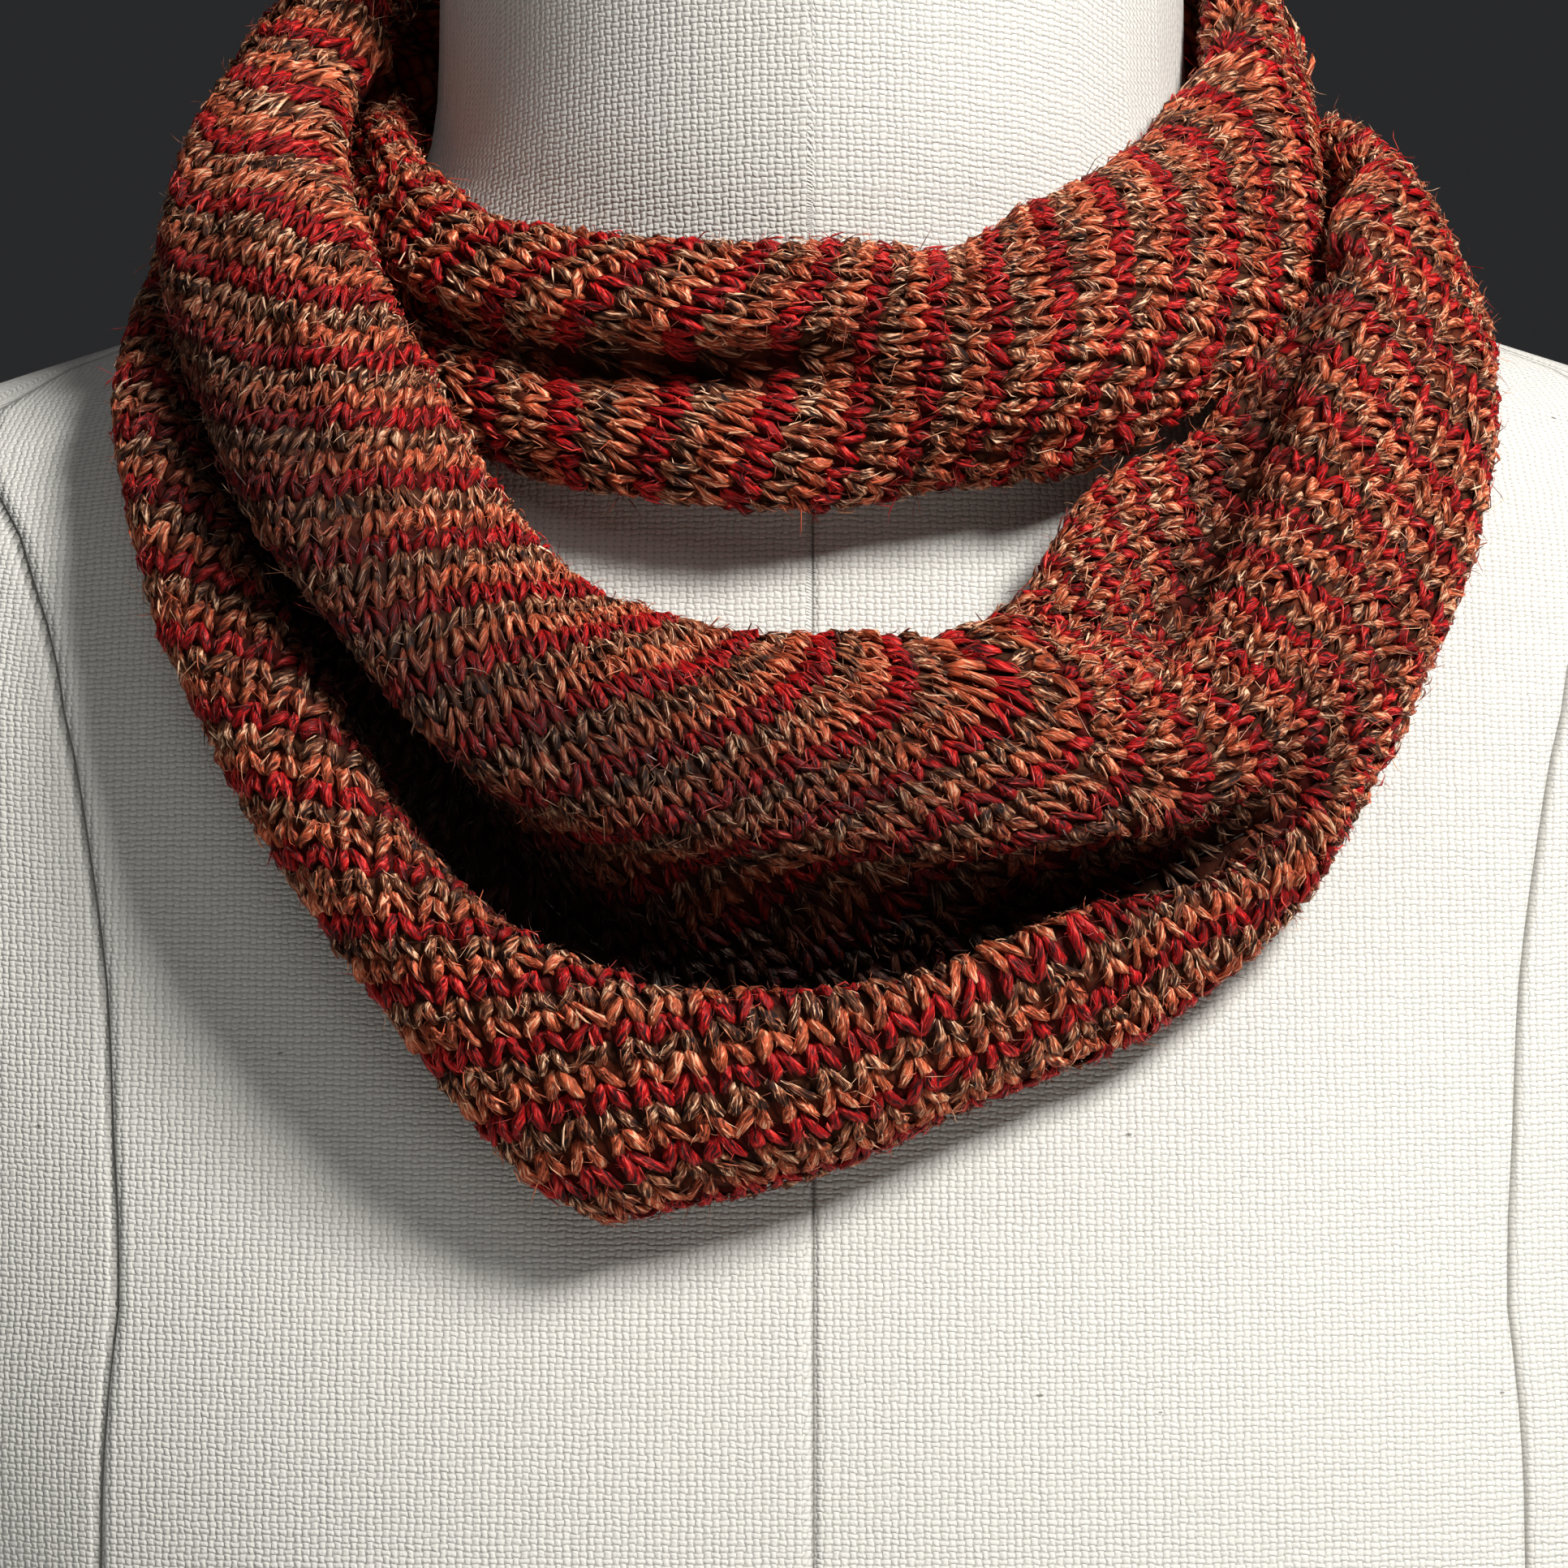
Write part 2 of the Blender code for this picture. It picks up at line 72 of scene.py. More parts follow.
FINE_STEP = 1.6               # size of the mesh on which the stitches are laid out
USUAL_REACH = 105.0           # how far the cloth usually lies from the neck's axis
NEAR_REACH = 80.0             # and how far where it lies close
LEFT_END = -90.0
MERGE_ANGLE = 43.0            # where the two rolls of the loose turn run together
RIGHT_END = 90.0
BACK_END = 270.0
FOLD_PLACE = 5                # the bottom of the pocket, counted along SECTION_POINTS

# The sections of the scarf, as in the solids. Each row is an hour angle, then for each named point its
# distance from the neck's axis and its height.
SECTION_POINTS = ("lip", "crown", "crease", "face", "nose", "fold", "rim", "belly", "hem", "tail")
TAIL_PLACE = len(SECTION_POINTS) - 1
OUTER_SECTIONS = (
    (-90, (66.5, 114), (68, 124), (73.5, 128.5), (82.5, 122.5), (91.5, 110),
     (88, 101.5), (95, 97), (99, 91), (94, 83), (87.5, 89)),
    (-80, (69.5, 107.5), (70.5, 114.5), (76.5, 117.5), (87, 112), (98, 98.5),
     (91, 89.5), (99, 87), (103, 82), (98, 74.5), (91, 81)),
    (-70, (75.5, 97.5), (76, 104), (82, 106), (93.5, 100), (105.5, 81),
     (94.5, 72.5), (107, 71.5), (113, 65), (108, 57.5), (101.5, 64)),
    (-60, (82, 85.5), (82.5, 93), (89, 94), (100, 85), (109.5, 62),
     (97, 54), (111, 54), (119, 46), (114, 37), (107, 45)),
    (-50, (87, 74.5), (89, 84), (95.5, 83), (105, 70), (114, 46.5),
     (98, 37), (115, 35.5), (124, 22), (119, 12), (112, 20)),
    (-40, (90, 59), (93.5, 68), (100, 66.5), (109, 53), (118, 31),
     (98, 16), (118, 12.5), (125, -4), (119.5, -14), (112.5, -6)),
    (-30, (84, 33), (90, 41), (96, 39), (107, 29), (117.5, 11.5),
     (98, -7), (119, -10.5), (124, -26), (117, -37.5), (110, -29)),
    (-20, (81, 20), (87, 28), (93, 26), (104, 18), (113.5, -1),
     (95, -23), (119, -25), (121, -43), (113.5, -59.5), (106.5, -51)),
    (-15, (79.5, 17), (85.5, 25), (91.5, 23.5), (103, 15), (112, -3),
     (94.5, -27), (118, -29), (120, -45.5), (111.5, -63), (104.5, -54.5)),
    (-10, (78, 15), (84, 23), (90, 21), (102, 12), (110, -5),
     (94, -30), (117, -32), (117.5, -46), (107, -61), (100.5, -52.5)),
    (0, (76, 13), (82, 21), (88, 20), (99, 12), (108, -7),
     (93, -31.5), (114, -32), (115, -45), (103, -57), (96.5, -48.5)),
    (10, (77, 13), (83, 21), (88, 21), (98, 13), (107.5, -8),
     (92.5, -28), (113, -28), (113, -39), (103, -50), (96.5, -41.5)),
    (20, (78, 19), (85, 27), (91, 25), (102, 14), (110.5, -8),
     (95, -20.5), (112, -21), (112, -31), (104, -43), (97.5, -34.5)),
    (30, (80, 36), (87, 45), (99, 24), (108, 17), (115, -5),
     (105, -13), (114, -15), (114, -24), (107, -33), (100.5, -24.5)),
    (40, (84.5, 46), (90, 52.5), (97.5, 42.5), (110.5, 37), (118.5, 12),
     (117, 1), (119, -3), (118, -9), (112, -17), (105, -9)),
    (45, (90.5, 56), (94.5, 65), (102, 61.5), (110.5, 50), (118, 29),
     (118.5, 19), (120, 13), (119.5, 6), (113, -2.5), (106, 5)),
    (50, (95, 64), (97.5, 74), (102, 73), (109.5, 62), (117, 45),
     (119.5, 36), (120.5, 28), (120, 21), (114, 13), (107, 20)),
    (60, (91, 77.5), (92.5, 87), (97.5, 88), (104.5, 81.5), (112.5, 67),
     (116.5, 58), (118.5, 51), (118.5, 45), (113, 37.5), (106, 45)),
    (70, (87, 84), (88, 93.5), (92, 96), (98, 92.5), (104, 82),
     (107.5, 75.5), (110, 70), (111, 65), (106, 58.3), (99, 65)),
    (80, (80, 91.5), (81, 100), (85, 102.5), (90, 98.5), (96, 89),
     (99.5, 83), (102, 78), (103, 75), (98.5, 70.3), (92, 76.5)),
    (90, (75, 92.5), (76, 100.5), (80, 103.5), (85.5, 101), (91, 93),
     (94, 88), (97, 83), (98, 79), (93.5, 74.8), (87, 81)),
)
WRAP_SECTIONS = (
    (-90, (62.5, 100), (63.5, 106.5), (67.5, 107.5), (71.5, 104), (74.5, 97),
     (74, 93), (76, 90), (79, 87), (80.8, 84), (81.3, 81.3)),
    (-75, (63.5, 96), (65.5, 103), (70, 103), (71.5, 99), (75, 92),
     (74.5, 88), (77, 85), (81, 81.5), (84, 78.5), (85.5, 76)),
    (-60, (65.5, 88), (68, 94.7), (72.7, 94), (75.5, 90), (79, 83),
     (76, 77), (79.5, 73.5), (83, 70), (85.5, 66), (86.8, 62.5)),
    (-45, (64.5, 78), (70, 86.5), (75.5, 87), (79.5, 83), (82, 75),
     (77, 69), (82, 64), (84.5, 58), (82.8, 52.5), (78.5, 53.5)),
    (-30, (65, 75), (71, 83), (76, 82), (80, 78), (82, 71),
     (75, 64), (82, 58), (83.2, 51.5), (77.5, 45), (72, 50.5)),
    (-15, (63, 73), (69, 81), (74, 80), (78, 76), (80, 69),
     (73, 62), (80, 56), (81, 49), (76, 42), (70.5, 50)),
    (0, (62, 72), (68, 80), (73, 79), (77, 75), (80, 68),
     (76, 61), (80, 55), (79, 48), (74, 41), (68.5, 49)),
    (15, (62, 72), (69, 80), (75, 79), (81, 75), (85, 67),
     (85, 61), (84, 55), (81, 49), (75, 43), (69.5, 51)),
    (30, (62, 80), (69, 88), (76, 87), (84, 81), (90, 73),
     (92, 66), (91, 59), (88, 52), (81, 47), (75.5, 55)),
    (45, (61, 87), (66, 95), (72, 95), (79, 92), (87, 84),
     (91, 76), (93, 69), (92, 63), (87, 59), (81.5, 67)),
    (60, (61, 96), (64, 104), (70, 105), (76, 102), (83, 95),
     (87, 88), (89, 82), (88, 78), (84, 76), (78.5, 84)),
    (75, (61, 107), (63, 115), (67, 117), (72, 115), (77, 108),
     (80, 103), (81, 98), (80.5, 95), (76.5, 90.5), (71, 96.5)),
    (90, (61, 122), (62, 130), (65, 133), (69, 130), (73, 123),
     (76, 117), (77, 112), (77.5, 110.5), (73, 105.5), (67.5, 111.5)),
)
UPPER_BACK_SECTIONS = (
    (120, (62, 128), (64, 136), (68, 139), (73, 136), (78, 128),
     (80, 122), (82, 117), (81, 113), (75.5, 107.5), (69.5, 113)),
    (160, (64, 130), (67, 138), (72, 141), (78, 138), (84, 129),
     (85, 122), (88, 117), (88, 112), (82, 106.5), (75.5, 112)),
    (200, (66, 129), (69, 137), (75, 140), (82, 137), (89, 127),
     (89, 119), (93, 114), (94, 108), (88, 102), (81.5, 107.5)),
    (240, (70, 125), (72, 133), (78, 136), (86, 131), (94, 119),
     (91, 110), (97, 106), (100, 99), (94, 92), (87.5, 98)),
)
LOWER_BACK_SECTIONS = (
    (120, (74, 87), (76, 95), (80, 99), (86, 99), (91, 94),
     (94, 88), (96, 82), (96, 76), (91, 70.5), (84.5, 76)),
    (160, (69, 86), (72, 94), (76, 97), (81, 95), (86, 89),
     (87, 84), (89, 79), (90, 75), (84.5, 69.5), (78, 75)),
    (200, (67, 90), (69, 97), (73, 99), (77, 97), (81, 90),
     (81, 86), (84, 81), (87, 77), (82, 71.3), (76, 76.5)),
    (240, (64, 95), (67, 102), (70, 103), (74, 100), (78, 93),
     (77, 89), (81, 86), (83.5, 82), (82.5, 77.3), (79, 76.5)),
)

# The red rows of the knitting, one row in three, read off the photo. Each line is a red row's number,
# then places on it in pixels, from the left and from the top, of a picture 1932 pixels square.
OUTER_RED_ROWS = (
    (1, (355, 28), (380, 38), (410, 55), (440, 68), (470, 80)),
    (2, (295, 90), (330, 97), (370, 108), (405, 118), (430, 128)),
    (3, (265, 160), (295, 176), (330, 183), (370, 182), (400, 192), (425, 212)),
    (4, (230, 238), (270, 248), (320, 252), (350, 262), (380, 280), (410, 288)),
    (5, (205, 317), (250, 325), (290, 333), (330, 345), (370, 350), (410, 358), (440, 363)),
    (6, (215, 403), (250, 412), (290, 420), (320, 430), (380, 432), (430, 432), (470, 437), (490, 450)),
    (7, (270, 508), (310, 517), (350, 515), (400, 505), (450, 505), (490, 515)),
    (8, (310, 607), (350, 608), (400, 595), (430, 580), (480, 578), (510, 580)),
    (9, (360, 682), (400, 688), (440, 685), (480, 672), (520, 655), (560, 652), (600, 660)),
    (10, (430, 781), (474, 767), (519, 750), (552, 727), (590, 712), (640, 714), (690, 733)),
    (11, (502, 853), (552, 839), (602, 825), (641, 811), (678, 785), (720, 773)),
    (12, (590, 925), (641, 909), (685, 895), (730, 872), (762, 848), (800, 822), (850, 806)),
    (13, (640, 985), (760, 955), (847, 933), (920, 900), (955, 872), (978, 845), (1010, 808)),
    (14, (700, 1035), (827, 1007), (880, 997), (933, 987), (987, 967), (1027, 933), (1060, 900),
     (1087, 860), (1107, 833), (1130, 810)),
    (15, (920, 1037), (987, 1013), (1027, 995), (1087, 973), (1127, 953), (1160, 927), (1200, 900),
     (1230, 868), (1258, 832), (1290, 803)),
    (16, (1013, 1073), (1067, 1053), (1127, 1033), (1180, 1013), (1227, 987), (1267, 967), (1300, 940),
     (1330, 905), (1348, 878), (1362, 840)),
    (17, (1180, 1065), (1260, 1040), (1330, 1012), (1380, 990), (1412, 960), (1433, 926), (1435, 885)),
    (18, (1330, 1065), (1400, 1045), (1455, 1025), (1475, 1005), (1490, 980), (1500, 950), (1497, 925)),
    (19, (1420, 1065), (1500, 1035), (1556, 1003), (1580, 979), (1586, 962), (1562, 926)),
    (20, (1540, 1060), (1592, 1026), (1627, 985), (1639, 944), (1627, 903), (1604, 874), (1556, 850),
     (1498, 832)),
    (21, (1451, 759), (1504, 768), (1556, 779), (1604, 791), (1639, 815), (1665, 860)),
    (22, (1498, 691), (1533, 694), (1568, 706), (1609, 721), (1645, 738), (1668, 768), (1680, 797)),
    (23, (1527, 621), (1562, 626), (1598, 638), (1651, 674), (1674, 697), (1709, 738)),
    (24, (1545, 550), (1592, 556), (1627, 574), (1662, 609), (1686, 638), (1709, 679), (1727, 721)),
    (25, (1556, 476), (1598, 476), (1633, 497), (1662, 521), (1692, 556), (1721, 597), (1745, 644)),
    (26, (1586, 409), (1627, 415), (1662, 432), (1692, 468), (1715, 503), (1739, 538), (1756, 585)),
    (27, (1639, 356), (1668, 368), (1704, 397), (1733, 432), (1756, 479), (1774, 526)),
    (28, (1651, 306), (1686, 309), (1715, 338), (1745, 374), (1774, 415)),
    (29, (1690, 280)),
    (30, (1662, 203)),
    (9, (150, 452), (190, 460), (225, 470)),
    (10, (145, 525), (170, 520), (200, 535), (240, 545), (260, 560)),
    (11, (160, 605), (190, 603), (220, 608), (250, 625), (280, 645)),
    (12, (200, 690), (235, 705), (270, 712), (300, 728)),
    (13, (205, 780), (240, 788), (270, 795), (300, 808)),
    (14, (260, 878), (300, 880), (340, 895)),
    (15, (320, 965), (360, 970), (400, 980)),
    (16, (340, 1052), (380, 1062), (420, 1062), (460, 1065), (500, 1080)),
    (17, (400, 1145), (440, 1140), (470, 1135), (520, 1135), (560, 1150)),
    (18, (465, 1225), (520, 1215), (570, 1213), (620, 1215), (680, 1222)),
    (19, (545, 1325), (580, 1305), (620, 1290), (680, 1280), (740, 1278), (800, 1272), (860, 1268),
     (920, 1262)),
    (20, (600, 1400), (650, 1375), (700, 1362), (760, 1350), (820, 1342), (880, 1335), (940, 1322),
     (1000, 1300), (1060, 1285), (1120, 1272), (1180, 1250), (1240, 1222), (1290, 1195), (1350, 1150),
     (1400, 1115)),
    (21, (700, 1460), (740, 1462), (960, 1400), (1040, 1382), (1100, 1358), (1160, 1330), (1220, 1300),
     (1280, 1275), (1340, 1252), (1400, 1220), (1450, 1180), (1500, 1140), (1540, 1100), (1560, 1085)),
)
WRAP_RED_ROWS = (
    (1, (587, 284), (553, 322), (520, 355)),
    (2, (690, 300), (653, 338), (615, 375), (605, 400)),
    (3, (826, 303), (770, 335), (720, 365), (690, 410), (655, 450)),
    (4, (937, 322), (907, 338), (878, 363), (862, 388), (824, 413), (790, 432)),
    (3, (737, 472), (703, 505)),
    (5, (1045, 326), (1012, 347), (982, 380), (966, 417), (945, 438)),
    (4, (857, 451), (832, 480), (820, 501), (795, 530), (774, 547)),
    (6, (1045, 405), (1058, 440), (1063, 475), (1055, 510), (1040, 545), (1030, 580)),
    (5, (985, 470), (965, 500), (960, 540), (950, 580), (930, 610)),
    (7, (1135, 350), (1148, 400), (1150, 440), (1140, 480), (1135, 530), (1125, 590)),
    (8, (1215, 300), (1232, 350), (1240, 400), (1240, 440), (1235, 480), (1230, 515)),
    (9, (1280, 262), (1300, 290), (1310, 330), (1315, 370), (1315, 410), (1312, 450), (1305, 490)),
    (10, (1345, 235), (1365, 260), (1375, 290), (1380, 330), (1388, 370), (1385, 410), (1375, 440),
     (1335, 500), (1310, 530)),
    (11, (1410, 197), (1435, 225), (1450, 260), (1462, 310), (1460, 350), (1455, 390), (1440, 430),
     (1425, 460), (1405, 500), (1385, 530)),
    (12, (1480, 160), (1505, 190), (1515, 230), (1525, 270), (1530, 340), (1515, 380), (1500, 420),
     (1485, 460)),
    (13, (1452, 130), (1480, 125), (1520, 120), (1540, 140), (1555, 170), (1562, 210), (1565, 250),
     (1560, 300), (1552, 350)),
    (14, (1500, 48), (1540, 40), (1570, 80), (1582, 140)),
)

# How those few rows are carried over a whole run of sections.
COLOURS = 3                   # rows run red, taupe, salmon, red again
PICTURE_MIDDLE = 966.0        # in pixels, both ways
PIXELS_A_MM = 7.85            # in the plane of the neck's axis
KNIT_HOUR_STEP = 2.5          # degrees between the places that are numbered
KNIT_PLACE_SHARE = 3          # places numbered for each step between two named points
SEEN_HOUR_STEP = 1.5          # the finer mesh on which the photo's places are found
SEEN_PLACE_SHARE = 6
GUESSED_RISE = 0.85 / 3.1     # rows for each millimetre round the neck, where no row was read
GUESS_WEIGHT = 0.003          # how much that guess weighs against a row that was read
BEND_WEIGHT = 6.0             # how much a bend in the numbering weighs
SPACING_WEIGHT = 0.3          # how much a row of the wrong height weighs
STITCH_SPACING = 4.6          # from stitch to stitch as numbered, a little less than a stitch is wide
TWIST_WEIGHT = 0.02           # keeps neighbouring stitches' numbers from see-sawing
JOIN_WEIGHT = 200.0           # behind the neck the numbering meets both ends of what is in front
SPACING_ROUNDS = 8            # the rows' height is put right step by step
LEAST = 1e-9                  # keeps a fit solvable, and a division from meeting nought
BACK_KNIT_HOURS = (RIGHT_END, 120.0, 160.0, 200.0, 240.0, BACK_END)

# How far a stitch may differ from the knitted size, and how much one differs from the next.
STITCH_NUDGE = 0.00037        # so that no stitch falls exactly on a corner of the mesh
ROW_NUDGE = 0.00061
QUARTERS = 4.0                # rows are followed at every quarter, because pulled rows stand further apart
CROWDED_ROW = 1.12            # of a row's height: past this an extra row is laid between
PULLED_ROW = (0.8, 1.5)       # of a row's height, where stitches are set along each row
PULLED_ACROSS = (0.72, 2.0)   # of a stitch's width, where whole columns are kept
PULLED_ALONG = (0.66, 2.0)
SLANT_LIMIT = 0.72
LEAN_SPREAD = 0.14
SIZE_SPREAD = 0.06
DEPTH_SPREAD = 0.10
LIFT_SPREAD = 0.16            # millimetres
SHIFT_SPREAD = 0.035
# One loose fibre, one unit long, as places with the thickness there.
FIBRE_PATH = (
    ((0.0, 0.0, 0.0), 0.0), ((0.0, 0.26, 0.0), 1.0), ((0.0, 0.70, 0.0), 0.8), ((0.0, 1.0, 0.0), 0.0),
)

# The ramps from a yarn's darkest strands to its lightest: a place on the ramp, then a colour, or how much
# of the yarn's own colour. Partly the yarns' own colours, partly painted shade in the gaps between the
# strands at the dark end and painted highlights on the silky strands at the light end.
RED_RAMP = ((0.10, (0.022, 0.000, 0.001)), (0.38, 0.60), (0.66, 1.20), (0.95, (0.84, 0.070, 0.050)))
LIGHT_TAUPE_RAMP = (
    (0.12, (0.022, 0.005, 0.003)), (0.40, (0.185, 0.054, 0.023)), (0.64, 1.35), (0.90, (1.0, 0.64, 0.41)),
)
DARK_TAUPE_RAMP = (
    (0.20, (0.010, 0.003, 0.002)), (0.50, (0.088, 0.022, 0.010)), (0.70, 0.80), (0.92, (0.92, 0.60, 0.38)),
)
SALMON_RAMP = ((0.08, (0.075, 0.010, 0.004)), (0.36, 0.50), (0.62, 1.10), (0.92, (1.0, 0.58, 0.34)))
WARM_SALMON = (0.40, 0.11, 0.045, 1.0)
# painted shade: the near black that the yarn is darkened towards in the deep folds
PAINTED_SHADE_DARK = (0.0035, 0.0006, 0.0004, 1.0)
# painted shade: the near black that the ground between the stitches is darkened towards
GROUND_PAINTED_SHADE = (0.016, 0.004, 0.002, 1.0)
# painted highlight: a pale colour mixed a little into the loose fibres
FIBRE_HIGHLIGHT = (0.85, 0.38, 0.20, 1.0)
SHEEN_TINT = (1.0, 0.55, 0.35, 1.0)
# painted shade in the gaps between the linen's threads
LINEN_GAP_SHARE = 0.42        # of the linen's own colour, in the gaps between its threads
LINEN_SLUB = (0.80, 0.79, 0.74, 1.0)
LINEN_SPECK = (0.10, 0.085, 0.065, 1.0)
LINEN_SEAM = (0.11, 0.10, 0.085, 1.0)
LINEN_STAIN = (0.66, 0.64, 0.58, 1.0)

# The dress form's levels, as in the solid: height, half width, reach in front of and behind the neck's
# axis, and how square the outline is.
FORM_COLUMNS = ("height", "half_width", "front", "back", "square")
FORM_LEVELS = (
    (-470, 165.0, 100.0, 108.0, 2.30),
    (-400, 158.0, 98.0, 106.0, 2.30),
    (-300, 126.0, 92.0, 86.0, 2.20),
    (-230, 137.0, 108.0, 96.0, 2.30),
    (-170, 152.0, 121.0, 104.0, 2.50),
    (-110, 164.0, 111.0, 110.0, 2.50),
    (-60, 178.0, 97.0, 112.0, 2.30),
    (-20, 188.0, 84.0, 110.0, 2.10),
    (10, 192.0, 75.0, 105.0, 1.95),
    (35, 187.0, 66.0, 96.0, 1.75),
    (52, 158.0, 61.0, 88.0, 1.60),
    (64, 124.0, 59.0, 80.0, 1.50),
    (73, 96.0, 58.5, 72.0, 1.50),
    (80, 78.0, 58.5, 67.0, 1.60),
    (88, 66.0, 58.5, 62.0, 1.80),
    (98, 60.0, 58.5, 59.0, 2.00),
    (110, 58.5, 58.5, 58.5, 2.00),
    (162, 58.0, 58.0, 58.0, 2.00),
)

# Creases too fine for the solids. Each is a depth, a half width, and its line as pairs of hour and place.
# A ridge has a depth below nought.
OUTER_CREASES = (
    (5.5, 3.2, ((56, 0.4), (52.5, 1.1), (48, 1.5), (42, 1.8), (36, 2.0), (31, 2.3), (26.5, 3.1))),
    (1.0, 4.0, ((-78, 3.2), (-60, 3.3), (-45, 3.1), (-32, 3.4))),
    (1.2, 3.5, ((2, 3.6), (14, 3.3), (24, 3.6), (33, 4.1))),
    (1.1, 4.0, ((62, 3.2), (68, 4.6), (66, 6.4), (58, 7.4))),
    (1.0, 4.0, ((-62, 7.0), (-48, 7.3), (-34, 7.1), (-22, 7.6))),
    (5.0, 5.5, ((-68, 5.2), (-50, 5.3), (-38, 5.35), (-25, 5.3), (-10, 5.2))),
    (2.4, 5.0, ((-16, 5.2), (0, 5.15), (16, 5.15), (32, 5.1))),
    (4.2, 7.0, ((-36, 4.4), (-18, 4.42), (0, 4.38), (14, 4.35), (26, 4.3), (36, 4.2))),
    (-1.7, 4.0, ((-66, 6.0), (-40, 5.95), (-20, 5.95), (0, 5.95), (22, 5.95), (38, 5.9))),
)
# Painted shade in the deep folds where wool lies so close on wool that hardly any light gets in, and along
# the turned-under hems: the yarn is darkened towards near black there. Each is a share, a half width, and its
# line.
OUTER_PAINTED_SHADES = (
    (0.92, 15.0, (
        (-84, 4.8), (-70, 4.9), (-52, 5.0), (-30, 5.0), (-8, 4.95), (15, 4.85), (32, 4.8), (44, 4.7))),
    (0.80, 14.0, ((-74, 3.9), (-62, 3.7), (-40, 3.6), (-18, 3.65), (4, 3.8), (22, 4.1))),
    (0.93, 12.0, ((-66, 5.4), (-48, 5.45), (-28, 5.45), (-8, 5.4), (14, 5.35), (32, 5.3))),
    (0.97, 5.2, ((58, 0.2), (52.5, 1.1), (48, 1.5), (42, 1.8), (36, 2.0), (30, 2.3))),
    (0.55, 10.0, ((-82, 6.1), (-66, 6.15), (-52, 6.1), (-40, 6.0))),
    (0.60, 7.0, ((84, 9.0), (66, 8.9), (48, 8.9), (20, 8.9), (-20, 8.9), (-60, 8.9), (-84, 9.0))),
)
WRAP_PAINTED_SHADES = (
    (0.80, 2.6, ((-50, 5.5), (-30, 5.0), (-15, 5.0), (-4, 4.8), (2.5, 4.3), (8, 3.2))),
    (0.55, 6.0, ((-70, 8.8), (-40, 8.8), (0, 8.8), (30, 8.8), (52, 8.6))),
)
WRAP_CREASES = (
    (2.2, 2.2, ((-47, 5.5), (-30, 5.0), (-15, 5.0), (-4, 4.8), (2.5, 4.3), (8, 3.2), (13, 1.6))),
    (1.7, 1.5, ((2, 7.6), (17, 7.7), (30, 7.7), (40, 7.4), (47, 7.1))),
    (1.6, 1.5, ((12, 7.1), (22, 7.0), (33, 6.9), (40, 6.5), (44, 6.1))),
    (1.3, 1.4, ((26, 8.3), (35, 8.2), (44, 7.9), (52, 7.4))),
    (1.0, 3.0, ((-28, 2.4), (-12, 2.9), (0, 2.6))),
)
UPPER_BACK_CREASES = (
    (1.4, 3.0, ((112, 3.6), (140, 4.2), (170, 4.0), (200, 4.6))),
    (1.2, 2.6, ((178, 6.4), (210, 6.9), (246, 6.3))),
)
LOWER_BACK_CREASES = (
    (1.4, 3.0, ((104, 5.6), (135, 5.0), (168, 5.3))),
    (1.2, 2.8, ((176, 3.2), (205, 3.8), (238, 3.4))),
)
# Long soft waves in the cloth: height, then waves for each radian round the neck and for each place across.
SOFT_WAVES = ((0.42, 7.3, 1.1, 0.4), (0.34, 12.7, -0.8, 2.1), (0.22, 19.1, 1.7, 4.0))

# The seams down the dress form, seen from the neck: hour angle at each height, the same on both sides.
PRINCESS_SEAM = (
    (-470, 43.0), (-300, 47.0), (-230, 47.5), (-170, 46.5), (-115, 47.6), (-88, 48.7), (-76, 49.2),
    (-62, 50.7), (-39, 53.6), (-28, 55.2), (2, 60.3), (20, 64.3), (40, 70.5), (62, 84.0), (80, 88.0),
    (162, 88.0),
)
BACK_SEAM = (
    (-470, 137.0), (-230, 134.0), (-100, 130.0), (0, 122.0), (40, 112.0), (62, 100.0), (80, 97.0),
    (162, 97.0),
)
SIDE_SEAM = ((-470, 90.0), (162, 90.0))
NECK_SEAM_HEIGHT = 79.0       # where the plain neck piece is sewn on
COLUMN_STEP = 6.5             # degrees between the form's columns
RING_STEP = 6.5               # millimetres between the form's rings
PANEL_WIDTHS = (49.0, 43.0, 44.0, 46.0)    # degrees from seam to seam, from the front to the back
SEAM_REACH = 110.0            # where the seams' width is true
SEAM_HALF_WIDTH = 0.55
SEAM_GAPS = (2.0, 6.0)        # the fewest degrees from the front seam to the side one, and on to the back one
NECK_SHARE = 0.14             # of the rings lie above the neck's seam
# The form's edges are rounded: how far above the underside or below the top, and how far drawn in there.
UNDER_EDGE = ((0.0, 4.0), (1.5, 1.9), (4.0, 0.5))
TOP_EDGE = ((1.4, 0.4), (0.4, 1.7), (0.0, 4.0))
LINEN_LEVEL = -100.0          # the height at which the linen's threads lie level

# The camera stands level with the chest, straight in front, as far off as the picture's edges ask.
CAMERA_X = -4.33
CAMERA_DISTANCE = 1400.0
FRAME_WIDTH = 246.1
SENSOR = 36.0

# The lights, in metres.
KEY_PLACE = (0.84, -0.92, 1.54)
KEY_SIZE = 0.44
KEY_COLOUR = (1.0, 0.985, 0.96)
FILL_PLACE = (-0.45, -1.10, 1.70)
FILL_SIZE = 1.0
FILL_COLOUR = (0.97, 0.98, 1.0)
ROOM_COLOUR = (0.135, 0.137, 0.145, 1.0)


class Stretch:
    """One stretch of the loop: where it lies in its run, what it rests on, and where it is pulled askew."""

    def __init__(self, name, run, start, end, first, last, on_wrap=False, pulled_from=math.inf):
        self.name = name
        self.run = run
        self.start = start
        self.end = end
        self.first = first
        self.last = last
        self.rests_on = ["neck_wrap_cloth"] * on_wrap + ["dress_form_linen"]
        self.pulled_from = pulled_from


